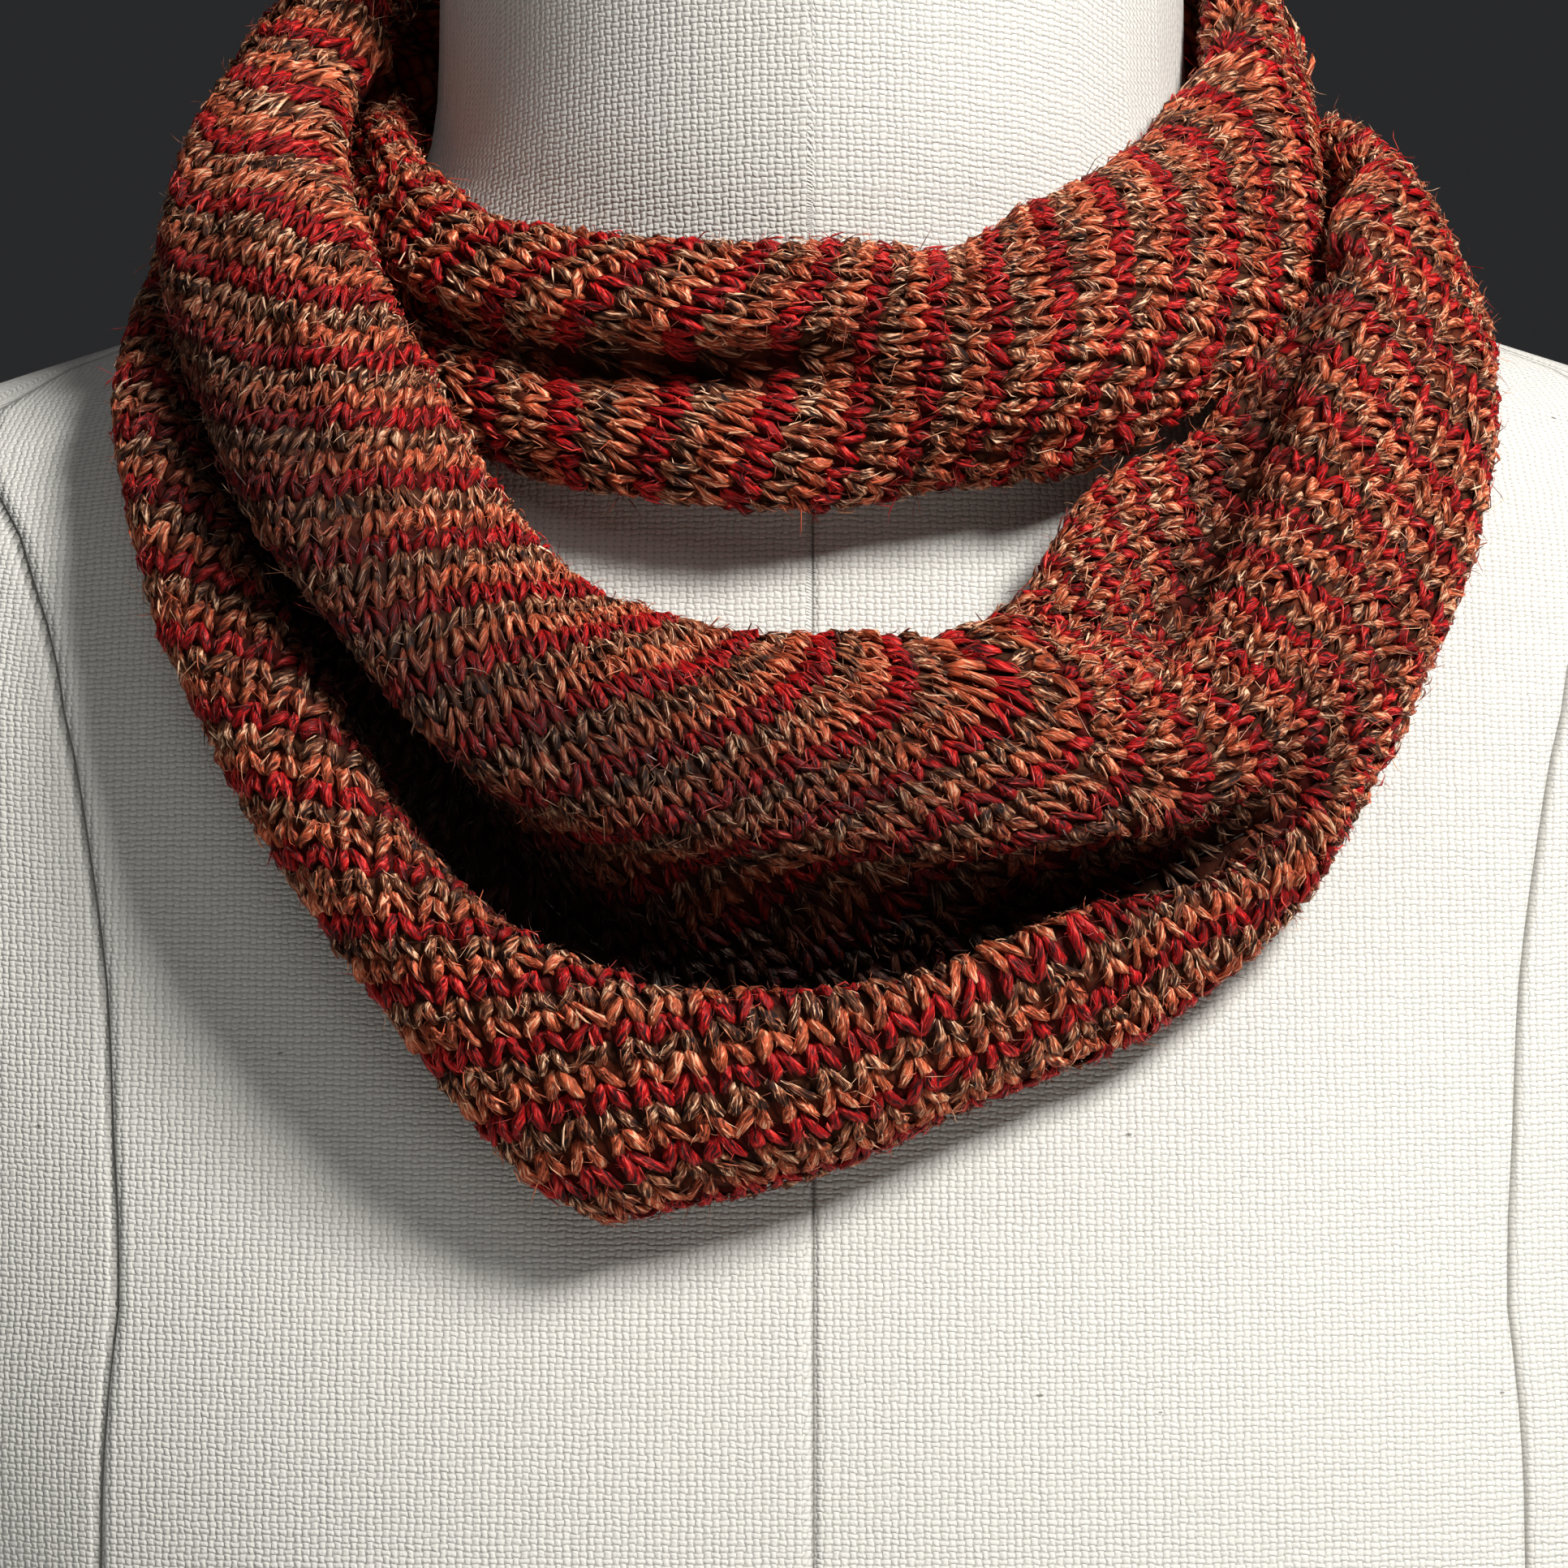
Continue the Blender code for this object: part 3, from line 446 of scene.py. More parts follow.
class Run:
    """A run of sections, with its fine creases and its lines of painted shade in the deep folds."""

    def __init__(self, sections, creases, painted_shades=()):
        self.hours = np.array([row[0] for row in sections], float)
        self.sections = np.array([[value for point in row[1:] for value in point] for row in sections], float)
        self.creases = creases
        self.painted_shades = painted_shades


def slopes(places, table):
    """Slope at each place of smooth curves that don't overshoot their own values, one for each column."""
    steps = np.diff(places)[:, None]
    rises = np.diff(table, axis=0) / steps
    grades = np.zeros_like(table)
    grades[0] = rises[0]
    grades[-1] = rises[-1]
    before = 2.0 * steps[1:] + steps[:-1]
    after = steps[1:] + 2.0 * steps[:-1]
    steady = rises[:-1] * rises[1:] > 0.0
    low = np.where(steady, rises[:-1], 1.0)
    high = np.where(steady, rises[1:], 1.0)
    grades[1:-1] = np.where(steady, (before + after) / (before / low + after / high), 0.0)
    return grades


def weights(t):
    """The four weights of a smooth step: two values, then two slopes."""
    return (
        2 * t ** 3 - 3 * t ** 2 + 1,
        3 * t ** 2 - 2 * t ** 3,
        t ** 3 - 2 * t ** 2 + t,
        t ** 3 - t ** 2,
    )


def read_table(places, table, at):
    """A table's columns read smoothly at other places."""
    at = np.asarray(at, float)
    grades = slopes(places, table)
    index = np.clip(np.searchsorted(places, at, side="left") - 1, 0, len(places) - 2)
    step = (places[index + 1] - places[index])[:, None]
    low, high, low_slope, high_slope = weights((at[:, None] - places[index][:, None]) / step)
    values = low * table[index] + high * table[index + 1]
    return values + step * (low_slope * grades[index] + high_slope * grades[index + 1])


def unit(vectors):
    """Vectors made one unit long."""
    return vectors / np.maximum(np.linalg.norm(vectors, axis=-1, keepdims=True), LEAST)


def in_space(hours, sections):
    """From hour angles and pairs of distance and height to places in the model, in millimetres."""
    turn = np.radians(hours)
    while turn.ndim < sections.ndim - 1:
        turn = turn[:, None]
    distance = sections[..., 0]
    return np.stack(
        (distance * np.sin(turn), AXIS_Y - distance * np.cos(turn), CHEST_LEVEL + sections[..., 1]), axis=-1
    )


def section_points(run, hours):
    """Named points at each hour: distance from the axis and height."""
    return read_table(run.hours, run.sections, hours).reshape(len(hours), len(SECTION_POINTS), 2)


def curve_parts(points):
    """Steps between the named points, and the curve's direction at each."""
    steps = np.linalg.norm(np.diff(points, axis=1), axis=2)
    ahead = np.concatenate((points[:, 1:], points[:, -1:]), axis=1)
    behind = np.concatenate((points[:, :1], points[:, :-1]), axis=1)
    return steps, unit(ahead - behind)


def on_sections(points, line, index, t):
    """Places on the curves through the named points, each by its line, its step and its share of that."""
    steps, tangents = curve_parts(points)
    low, high, low_slope, high_slope = (weight[..., None] for weight in weights(t))
    flat = low * points[line, index] + high * points[line, index + 1]
    slope = low_slope * tangents[line, index] + high_slope * tangents[line, index + 1]
    return flat + steps[line, index][..., None] * slope


def knit_slopes(values, steps):
    """Slope of the knitting's numbers along each section."""
    rises = np.diff(values, axis=1) / steps
    grades = np.empty_like(values)
    grades[:, 0] = rises[:, 0]
    grades[:, -1] = rises[:, -1]
    both = steps[:, 1:] + steps[:, :-1]
    grades[:, 1:-1] = (rises[:, :-1] * steps[:, 1:] + rises[:, 1:] * steps[:, :-1]) / both
    return grades


class Sheet:
    """An even mesh of places on a run, with all that is known at each."""

    def __init__(self, run, hours, first, last, cells, gap):
        hours = np.asarray(hours, float)
        points = section_points(run, hours)
        steps, tangents = curve_parts(points)
        lengths = np.concatenate((np.zeros((len(hours), 1)), np.cumsum(steps, axis=1)), axis=1)
        start = lengths[:, first] + (gap / 2.0 if first > 0 else 0.0)
        end = lengths[:, last] - (gap / 2.0 if last < TAIL_PLACE else 0.0)
        along = start[:, None] + (end - start)[:, None] * np.linspace(0.0, 1.0, cells + 1)[None, :]
        index = (along[:, :, None] > lengths[:, None, 1:-1]).sum(axis=2)
        line = np.arange(len(hours))[:, None]
        step = steps[line, index]
        t = (along - lengths[line, index]) / step
        low, high, low_slope, high_slope = (weight[..., None] for weight in weights(t))
        here = low * points[line, index] + high * points[line, index + 1]
        here += step[..., None] * (low_slope * tangents[line, index] + high_slope * tangents[line, index + 1])
        self.flat = here
        steep = [grade[..., None] for grade in (
            6 * t ** 2 - 6 * t, 6 * t - 6 * t ** 2, 3 * t ** 2 - 4 * t + 1, 3 * t ** 2 - 2 * t)]
        heading = steep[0] * points[line, index] + steep[1] * points[line, index + 1]
        heading += step[..., None] * (steep[2] * tangents[line, index] + steep[3] * tangents[line, index + 1])
        self.heading = unit(heading)
        self.hours = hours
        self.places = index + t
        self.position = in_space(hours, here)
        knit_hours, rows, stitches = numbered_knitting()[run]
        self.rows = self.read_knit(knit_hours, rows, steps, index, t)
        self.stitches = self.read_knit(knit_hours, stitches, steps, index, t)
        self.measure()
        turn = np.radians(hours)[:, None]
        forward = np.stack(
            (self.heading[..., 0] * np.sin(turn), -self.heading[..., 0] * np.cos(turn), self.heading[..., 1]),
            axis=2,
        )
        true_normal = unit(np.cross(forward, self.by_hour))
        self.position = self.position + true_normal * relief(run, self)[..., None]
        self.measure()
        # painted shade: how far the yarn at each place is darkened towards near black, in the deep folds
        self.hollow = np.zeros(self.places.shape)
        for share, half_width, line in run.painted_shades:
            self.hollow = 1.0 - (1.0 - self.hollow) * (1.0 - share * crease(run, self, half_width, line))

    def read_knit(self, knit_hours, table, steps, index, t):
        """Row or stitch numbers at each place."""
        values = read_table(knit_hours, table, self.hours)
        grades = knit_slopes(values, steps)
        line = np.arange(len(self.hours))[:, None]
        low, high, low_slope, high_slope = weights(t)
        result = low * values[line, index] + high * values[line, index + 1]
        step = steps[line, index]
        return result + step * (low_slope * grades[line, index] + high_slope * grades[line, index + 1])

    def measure(self):
        """Directions of the mesh at each place, and the outward normal."""
        self.by_hour = np.gradient(self.position, axis=0)
        self.by_place = np.gradient(self.position, axis=1)
        self.normal = unit(np.cross(self.by_place, self.by_hour))

    def knit_directions(self):
        """How far and which way one stitch and one row go at each place."""
        rows_by_hour = np.gradient(self.rows, axis=0)
        rows_by_place = np.gradient(self.rows, axis=1)
        stitches_by_hour = np.gradient(self.stitches, axis=0)
        stitches_by_place = np.gradient(self.stitches, axis=1)
        spread = stitches_by_hour * rows_by_place - rows_by_hour * stitches_by_place
        spread = np.where(np.abs(spread) < 1e-4, np.where(spread < 0, -1e-4, 1e-4), spread)[..., None]
        one_stitch = self.by_hour * rows_by_place[..., None] - self.by_place * rows_by_hour[..., None]
        one_row = self.by_place * stitches_by_hour[..., None] - self.by_hour * stitches_by_place[..., None]
        return one_stitch / spread, one_row / spread


def relief(run, sheet):
    """How far each place stands out from the plain section, in millimetres: soft waves and fine creases."""
    turn = np.radians(sheet.hours)[:, None]
    height = np.zeros(sheet.places.shape)
    for size, round_neck, across, phase in SOFT_WAVES:
        height += size * np.sin(round_neck * turn + across * sheet.places + phase)
    for depth, half_width, line in run.creases:
        height -= depth * crease(run, sheet, half_width, line)
    return height


def crease(run, sheet, half_width, line):
    """How fully one crease is felt at each place of the sheet, from nought to one."""
    corners = np.array(line, float)
    marks = np.linspace(0.0, len(corners) - 1.0, 24 * len(corners))
    hours = np.interp(marks, np.arange(len(corners)), corners[:, 0])
    places = np.interp(marks, np.arange(len(corners)), corners[:, 1])
    points = section_points(run, hours)
    index = np.clip(places.astype(int), 0, TAIL_PLACE - 1)
    line_places = in_space(hours, on_sections(points, np.arange(len(marks)), index, places - index))
    fade = np.sin(math.pi * np.clip(marks / marks[-1], 0.03, 0.97)) ** 0.5
    result = np.zeros(sheet.places.shape)
    for spot, place, share in zip(line_places, places, fade):
        away = np.linalg.norm(sheet.position - spot, axis=2)
        near = np.clip(1.6 - np.abs(sheet.places - place), 0.0, 1.0)
        np.maximum(result, share * near * np.exp(-(away / half_width) ** 2), out=result)
    return result


OUTER_RUN = Run(OUTER_SECTIONS, OUTER_CREASES, OUTER_PAINTED_SHADES)
WRAP_RUN = Run(WRAP_SECTIONS, WRAP_CREASES, WRAP_PAINTED_SHADES)
LOWER_BACK_RUN = Run(
    ((RIGHT_END,) + OUTER_SECTIONS[-1][1:],) + LOWER_BACK_SECTIONS + ((BACK_END,) + WRAP_SECTIONS[0][1:],),
    LOWER_BACK_CREASES,
)
UPPER_BACK_RUN = Run(
    ((RIGHT_END,) + WRAP_SECTIONS[-1][1:],) + UPPER_BACK_SECTIONS + ((BACK_END,) + OUTER_SECTIONS[0][1:],),
    UPPER_BACK_CREASES,
)
STRETCHES = (
    Stretch("left_band", OUTER_RUN, LEFT_END, MERGE_ANGLE, 0, FOLD_PLACE, on_wrap=True, pulled_from=22.0),
    Stretch("lower_fold", OUTER_RUN, LEFT_END, MERGE_ANGLE, FOLD_PLACE, TAIL_PLACE, pulled_from=22.0),
    Stretch("right_band", OUTER_RUN, MERGE_ANGLE, RIGHT_END, 0, TAIL_PLACE, pulled_from=0.0),
    Stretch("neck_wrap", WRAP_RUN, LEFT_END, RIGHT_END, 0, TAIL_PLACE, pulled_from=72.0),
    Stretch("back_lower", LOWER_BACK_RUN, RIGHT_END, BACK_END, 0, TAIL_PLACE),
    Stretch("back_upper", UPPER_BACK_RUN, RIGHT_END, BACK_END, 0, TAIL_PLACE),
)


# ---------------------------------------------------------------- numbering the knitting

def mesh_places(run, hour_step, place_share):
    """The hours and the places across of an even mesh on a run, and where each lies, in millimetres."""
    first, last = run.hours[0], run.hours[-1]
    hours = np.linspace(first, last, round((last - first) / hour_step) + 1)
    places = np.arange(TAIL_PLACE * place_share + 1) / place_share
    index = np.minimum(places.astype(int), TAIL_PLACE - 1)
    line = np.arange(len(hours))[:, None]
    flat = on_sections(section_points(run, hours), line, index[None, :], (places - index)[None, :])
    return hours, places, in_space(hours, flat)


def read_rows(run, red_rows):
    """The rows read off the photo as row number, hour and place on the run, each seen from the camera."""
    hours, places, mesh = mesh_places(run, SEEN_HOUR_STEP, SEEN_PLACE_SHARE)
    columns = len(places)
    corners = mesh.reshape(-1, 3)
    faces = [
        (first, first + 1, first + columns + 1, first + columns)
        for line in range(len(hours) - 1) for first in range(line * columns, line * columns + columns - 1)]
    tree = BVHTree.FromPolygons(corners.tolist(), faces)
    camera = Vector((CAMERA_X, AXIS_Y - CAMERA_DISTANCE, CHEST_LEVEL))
    found = []
    for number, *pixels in red_rows:
        for across, down in pixels:
            seen = Vector((
                CAMERA_X + (across - PICTURE_MIDDLE) / PIXELS_A_MM, AXIS_Y,
                CHEST_LEVEL + (PICTURE_MIDDLE - down) / PIXELS_A_MM))
            spot, _normal, face, _distance = tree.ray_cast(camera, (seen - camera).normalized())
            corner = faces[face][0]
            edges = np.stack((corners[corner + 1], corners[corner + columns])) - corners[corner]
            shares = np.linalg.solve(edges @ edges.T, edges @ (np.array(spot) - corners[corner]))
            line, column = divmod(corner, columns)
            hour = hours[line] + shares[1] * SEEN_HOUR_STEP
            place = (column + shares[0]) / SEEN_PLACE_SHARE
            found.append((COLOURS * number, round(hour, 1), round(place, 2)))
    return found


class Fit:
    """A least squares fit of one number at each place of an even mesh."""

    def __init__(self, shape):
        self.index = np.arange(shape[0] * shape[1]).reshape(shape)
        self.matrix = np.zeros((self.index.size, self.index.size))
        self.wanted = np.zeros(self.index.size)

    def ask(self, places, shares, value, weight):
        """Asks at each line of places that the numbers there, each times its share, add up to a value."""
        shares = np.broadcast_to(shares, places.shape)
        weighted = shares * np.broadcast_to(weight, places.shape[:1])[:, None]
        square = weighted[:, :, None] * shares[:, None, :]
        np.add.at(self.matrix, (places[:, :, None], places[:, None, :]), square)
        np.add.at(self.wanted, places, weighted * np.broadcast_to(value, places.shape[:1])[:, None])

    def corners(self):
        """The four corners of each cell: by line, then by column."""
        index = self.index
        cells = (index[:-1, :-1], index[:-1, 1:], index[1:, :-1], index[1:, 1:])
        return np.stack(cells, axis=-1).reshape(-1, 4)

    def solved(self, floor):
        """The numbers that fit best."""
        matrix = self.matrix + floor * np.eye(self.index.size)
        return np.linalg.solve(matrix, self.wanted).reshape(self.index.shape)


class Cells:
    """The cells of an even mesh: their area, and how a number's rise over a cell turns into a slope."""

    def __init__(self, hours, places, mesh):
        hour_step = hours[1] - hours[0]
        place_step = places[1] - places[0]
        by_hour = np.diff(mesh, axis=0) / hour_step
        by_place = np.diff(mesh, axis=1) / place_step
        by_hour = ((by_hour[:, :-1] + by_hour[:, 1:]) / 2.0).reshape(-1, 3)
        by_place = ((by_place[:-1] + by_place[1:]) / 2.0).reshape(-1, 3)
        both = np.stack((by_hour, by_place), axis=1)
        metric = both @ both.transpose(0, 2, 1)
        self.stretch = np.sqrt(np.linalg.det(metric))
        self.area = self.stretch * hour_step * place_step
        self.inverse = np.linalg.inv(metric)
        self.rise = np.array(((-1.0, -1.0, 1.0, 1.0), (-1.0, 1.0, -1.0, 1.0)))
        self.rise *= 0.5 / np.array((hour_step, place_step))[:, None]

    def pull(self, fit, toward, weight):
        """Asks a fit for a slope in each cell, with the strength of the cell's area."""
        corners = fit.corners()
        area = weight * self.area
        square = self.rise.T @ self.inverse @ self.rise * area[:, None, None]
        np.add.at(fit.matrix, (corners[:, :, None], corners[:, None, :]), square)
        np.add.at(fit.wanted, corners, (toward * area[:, None]) @ self.rise)

    def slope(self, fit, numbers):
        """A numbering's rise in each cell, its slope, and how steep that is."""
        rise = numbers.reshape(-1)[fit.corners()] @ self.rise.T
        slope = (self.inverse @ rise[:, :, None])[:, :, 0]
        return rise, slope, np.sqrt((rise * slope).sum(axis=1))[:, None]


def ask_smooth(fit, mesh, guessed):
    """Asks for a numbering with few bends, and where nothing was read for the rows' usual rise."""
    index = fit.index
    long_steps = np.linalg.norm(np.diff(mesh, axis=0), axis=2)
    cross_steps = np.linalg.norm(np.diff(mesh, axis=1), axis=2)
    long_before = np.concatenate((long_steps[:1], long_steps))
    long_after = np.concatenate((long_steps, long_steps[-1:]))
    cross_before = np.concatenate((cross_steps[:, :1], cross_steps), axis=1)
    cross_after = np.concatenate((cross_steps, cross_steps[:, -1:]), axis=1)
    area = (long_before + long_after) / 2.0 * (cross_before + cross_after) / 2.0
    for before, after, inner, places in (
        (long_before, long_after, np.s_[1:-1, :], (index[:-2], index[1:-1], index[2:])),
        (cross_before, cross_after, np.s_[:, 1:-1], (index[:, :-2], index[:, 1:-1], index[:, 2:])),
    ):
        before, after = before[inner].ravel(), after[inner].ravel()
        middle = (before + after) / 2.0
        shares = np.stack((1.0 / before, -(1.0 / before + 1.0 / after), 1.0 / after), axis=1)
        shares /= middle[:, None]
        places = np.stack([place.ravel() for place in places], axis=1)
        fit.ask(places, shares, 0.0, BEND_WEIGHT * area[inner].ravel())
    corners = fit.corners()
    long_step = long_after[:-1, :-1].ravel()
    cross_step = cross_after[:-1, :-1].ravel()
    area = area[:-1, :-1].ravel()
    twist = np.array((1.0, -1.0, -1.0, 1.0)) / (long_step * cross_step)[:, None]
    fit.ask(corners, twist, 0.0, 2.0 * BEND_WEIGHT * area)
    if guessed:
        ends = np.array((-1.0, 1.0))
        fit.ask(corners[:, (0, 2)], ends / long_step[:, None], GUESSED_RISE, GUESS_WEIGHT * area)
        fit.ask(corners[:, (0, 1)], ends / cross_step[:, None], 0.0, GUESS_WEIGHT * area)


def ask_readings(fit, hours, places, readings):
    """Asks that each row that was read has its own number."""
    for number, hour, place in readings:
        across = (hour - hours[0]) / (hours[1] - hours[0])
        along = (place - places[0]) / (places[1] - places[0])
        i = min(int(across), len(hours) - 2)
        j = min(int(along), len(places) - 2)
        u, v = across - i, along - j
        corners = fit.index[i:i + 2, j:j + 2].reshape(1, 4)
        fit.ask(corners, np.array(((1 - u) * (1 - v), (1 - u) * v, u * (1 - v), u * v)), number, 1.0)


def ask_ends(fit, ends):
    """Asks that the first and the last line have given numbers."""
    for line, numbers in zip((0, -1), ends):
        fit.ask(fit.index[line][:, None], 1.0, numbers, JOIN_WEIGHT)


def number_run(run, readings=(), row_ends=None, stitch_ends=None):
    """The mesh of a run, and the row and the stitch at each place: rows evenly apart, stitches square on."""
    hours, places, mesh = mesh_places(run, KNIT_HOUR_STEP, KNIT_PLACE_SHARE)
    cells = Cells(hours, places, mesh)
    base = Fit(mesh.shape[:2])
    ask_readings(base, hours, places, readings)
    if row_ends:
        ask_ends(base, row_ends)
    ask_smooth(base, mesh, guessed=not row_ends)
    rows = base.solved(LEAST)
    for _round in range(SPACING_ROUNDS):
        fit = Fit(mesh.shape[:2])
        fit.matrix += base.matrix
        fit.wanted += base.wanted
        _rise, slope, steepness = cells.slope(fit, rows)
        cells.pull(fit, slope / steepness / ROW_HEIGHT, SPACING_WEIGHT)
        rows = fit.solved(LEAST)
    fit = Fit(mesh.shape[:2])
    rise, _slope, steepness = cells.slope(fit, rows)
    square_on = np.stack((-rise[:, 1], rise[:, 0]), axis=1) / cells.stretch[:, None] / steepness
    cells.pull(fit, square_on / STITCH_SPACING, 1.0)
    fit.ask(fit.corners(), np.array((1.0, -1.0, -1.0, 1.0)), 0.0, TWIST_WEIGHT)
    if stitch_ends:
        ask_ends(fit, stitch_ends)
    return mesh, rows, fit.solved(10.0 * LEAST)


def number_back(run, before, after):
    """The numbering of a run behind the neck, carried on from one front run and met by another."""
    _hours, _places, mesh = mesh_places(run, KNIT_HOUR_STEP, KNIT_PLACE_SHARE)
    length = np.linalg.norm(np.diff(mesh, axis=0), axis=2).sum(axis=0).mean()
    first_rows, last_rows = before[1][-1], after[1][0]
    missing = length / ROW_HEIGHT - (last_rows - first_rows).mean()
    last_rows = last_rows + COLOURS * round(missing / COLOURS)
    first_stitches, last_stitches = before[2][-1], after[2][0]
    last_stitches = last_stitches + round((first_stitches - last_stitches).mean())
    return number_run(run, (), (first_rows, last_rows), (first_stitches, last_stitches))


def at_named_points(run, numbering, hours):
    """A run's hours and the row and stitch at each named point, to a tenth, so every box gets the same."""
    _mesh, rows, stitches = numbering
    lines = np.round((np.asarray(hours) - run.hours[0]) / KNIT_HOUR_STEP).astype(int)
    named = [np.round(numbers[lines][:, ::KNIT_PLACE_SHARE], 1) for numbers in (rows, stitches)]
    return np.asarray(hours, float), named[0], named[1]


@functools.lru_cache(maxsize=None)
def numbered_knitting():
    """For each run its hours and the row and the stitch at each named point, worked out once."""
    fronts = []
    for run, red_rows in ((OUTER_RUN, OUTER_RED_ROWS), (WRAP_RUN, WRAP_RED_ROWS)):
        mesh, rows, stitches = number_run(run, read_rows(run, red_rows))
        fronts.append((mesh, rows, stitches - np.round(stitches[len(stitches) // 2].mean())))
    outer, wrap = fronts
    lower = number_back(LOWER_BACK_RUN, outer, wrap)
    upper = number_back(UPPER_BACK_RUN, wrap, outer)
    return {
        OUTER_RUN: at_named_points(OUTER_RUN, outer, OUTER_RUN.hours),
        WRAP_RUN: at_named_points(WRAP_RUN, wrap, WRAP_RUN.hours),
        LOWER_BACK_RUN: at_named_points(LOWER_BACK_RUN, lower, BACK_KNIT_HOURS),
        UPPER_BACK_RUN: at_named_points(UPPER_BACK_RUN, upper, BACK_KNIT_HOURS),
    }


def even_hours(start, end, reach, step):
    """Hour angles from start to end, no further apart than step at that distance from the axis."""
    count = max(2, math.ceil(math.radians(end - start) * reach / step))
    return np.linspace(start, end, count + 1)


def settings():
    """The sizes and colours set in the sidebar."""
    return bpy.context.scene.neck_warmer


def new_object(name, mesh):
    """An object of the scene from a mesh."""
    item = bpy.data.objects.new(name, mesh)
    bpy.context.scene.collection.objects.link(item)
    return item


def mesh_from_arrays(name, vertices, faces, smooth=True):
    """A mesh from places in millimetres and faces of any size."""
    mesh = bpy.data.meshes.new(name)
    mesh.from_pydata((np.asarray(vertices) * MM).tolist(), [], faces)
    mesh.polygons.foreach_set("use_smooth", [smooth] * len(mesh.polygons))
    mesh.update()
    return mesh


def corner_vertices(mesh):
    """The vertex at each corner of each face."""
    corners = np.empty(len(mesh.loops), dtype=np.int32)
    mesh.loops.foreach_get("vertex_index", corners)
    return corners


def mark_points(mesh, name, values):
    """A value at each vertex, for the materials to read."""
    layer = mesh.attributes.new(name, "FLOAT", "POINT")
    layer.data.foreach_set("value", np.asarray(values).astype(np.float32))


# ---------------------------------------------------------------- shells of cloth

def wall_depth(sheet):
    """Depth of the cloth at each place, thinner where it is curled tightly."""
    turn = np.radians(sheet.hours)[:, None]
    normal = sheet.normal
    sideways = normal[..., 0] * np.cos(turn) + normal[..., 1] * np.sin(turn)
    square = np.maximum(np.sqrt(np.maximum(0.0, 1.0 - sideways ** 2)), 0.8)
    low = np.concatenate((sheet.heading[:, :1], sheet.heading[:, :-1]), axis=1)
    high = np.concatenate((sheet.heading[:, 1:], sheet.heading[:, -1:]), axis=1)
    bend = np.arctan2(low[..., 0] * high[..., 1] - low[..., 1] * high[..., 0], (low * high).sum(axis=2))
    before = np.concatenate((sheet.flat[:, :1], sheet.flat[:, :-1]), axis=1)
    after = np.concatenate((sheet.flat[:, 1:], sheet.flat[:, -1:]), axis=1)
    chord = np.linalg.norm(after - before, axis=2)
    curl = np.where(bend < 0.0, chord / (2.0 * np.sin(np.clip(-bend, 1e-6, math.pi) / 2.0)), 1e6)
    return np.minimum(CLOTH_THICK / square, CURL_SHARE * curl)


def shell_mesh(name, sheet):
    """A closed shell: the outer face a little under the stitches, the inner face at the wall's depth."""
    lines, columns = sheet.places.shape
    turn = np.radians(sheet.hours)[:, None]
    away = -sheet.heading[..., 1]
    outward = np.stack((away * np.sin(turn), -away * np.cos(turn), sheet.heading[..., 0]), axis=2)
    depth = wall_depth(sheet)
    sink = np.minimum(SHELL_SINK, 0.45 * depth)
    outer = sheet.position - outward * sink[..., None]
    inner = sheet.position - outward * depth[..., None]
    vertices = np.concatenate((outer.reshape(-1, 3), inner.reshape(-1, 3)))
    under = lines * columns
    faces = []
    for i in range(lines - 1):
        for j in range(columns - 1):
            a = i * columns + j
            b = a + under
            faces.append((a, a + 1, a + columns + 1, a + columns))
            faces.append((b, b + columns, b + columns + 1, b + 1))
    for i in range(lines - 1):
        a = i * columns
        faces.append((a, a + columns, under + a + columns, under + a))
        a += columns - 1
        faces.append((a + columns, a, under + a, under + a + columns))
    for j in range(columns - 1):
        faces.append((j + 1, j, under + j, under + j + 1))
        a = (lines - 1) * columns + j
        faces.append((a, a + 1, under + a + 1, under + a))
    mesh = mesh_from_arrays(name, vertices, faces)
    numbers = np.stack((sheet.stitches, sheet.rows), axis=2).reshape(-1, 2)
    numbers = np.concatenate((numbers, numbers))
    layer = mesh.uv_layers.new(name="knit")
    layer.data.foreach_set("uv", numbers[corner_vertices(mesh)].astype(np.float32).ravel())
    mark_points(mesh, "inner_side", np.repeat((0.0, 1.0), under))
    mark_points(mesh, "hollow", np.tile(sheet.hollow.ravel(), 2))
    return mesh


def stretch_sheet(stretch, step, gap):
    """The mesh of places for one stretch."""
    spare = math.degrees(gap / 2.0 / NEAR_REACH)
    hours = even_hours(stretch.start + spare, stretch.end - spare, USUAL_REACH, step)
    points = section_points(stretch.run, hours)
    lengths = np.linalg.norm(np.diff(points[:, stretch.first:stretch.last + 1], axis=1), axis=2).sum(axis=1)
    cells = max(4, int(round(lengths.max() / step)))
    return Sheet(stretch.run, hours, stretch.first, stretch.last, cells, gap)


# ---------------------------------------------------------------- where the stitches lie

def triangles(sheet):
    """The mesh's places three by three, two triangles to a cell."""
    number = np.arange(sheet.places.size).reshape(sheet.places.shape)
    cells = (number[:-1, :-1], number[:-1, 1:], number[1:, 1:], number[1:, :-1])
    a, b, c, d = (part.ravel() for part in cells)
    return np.concatenate((np.stack((a, b, c), axis=1), np.stack((a, c, d), axis=1)))


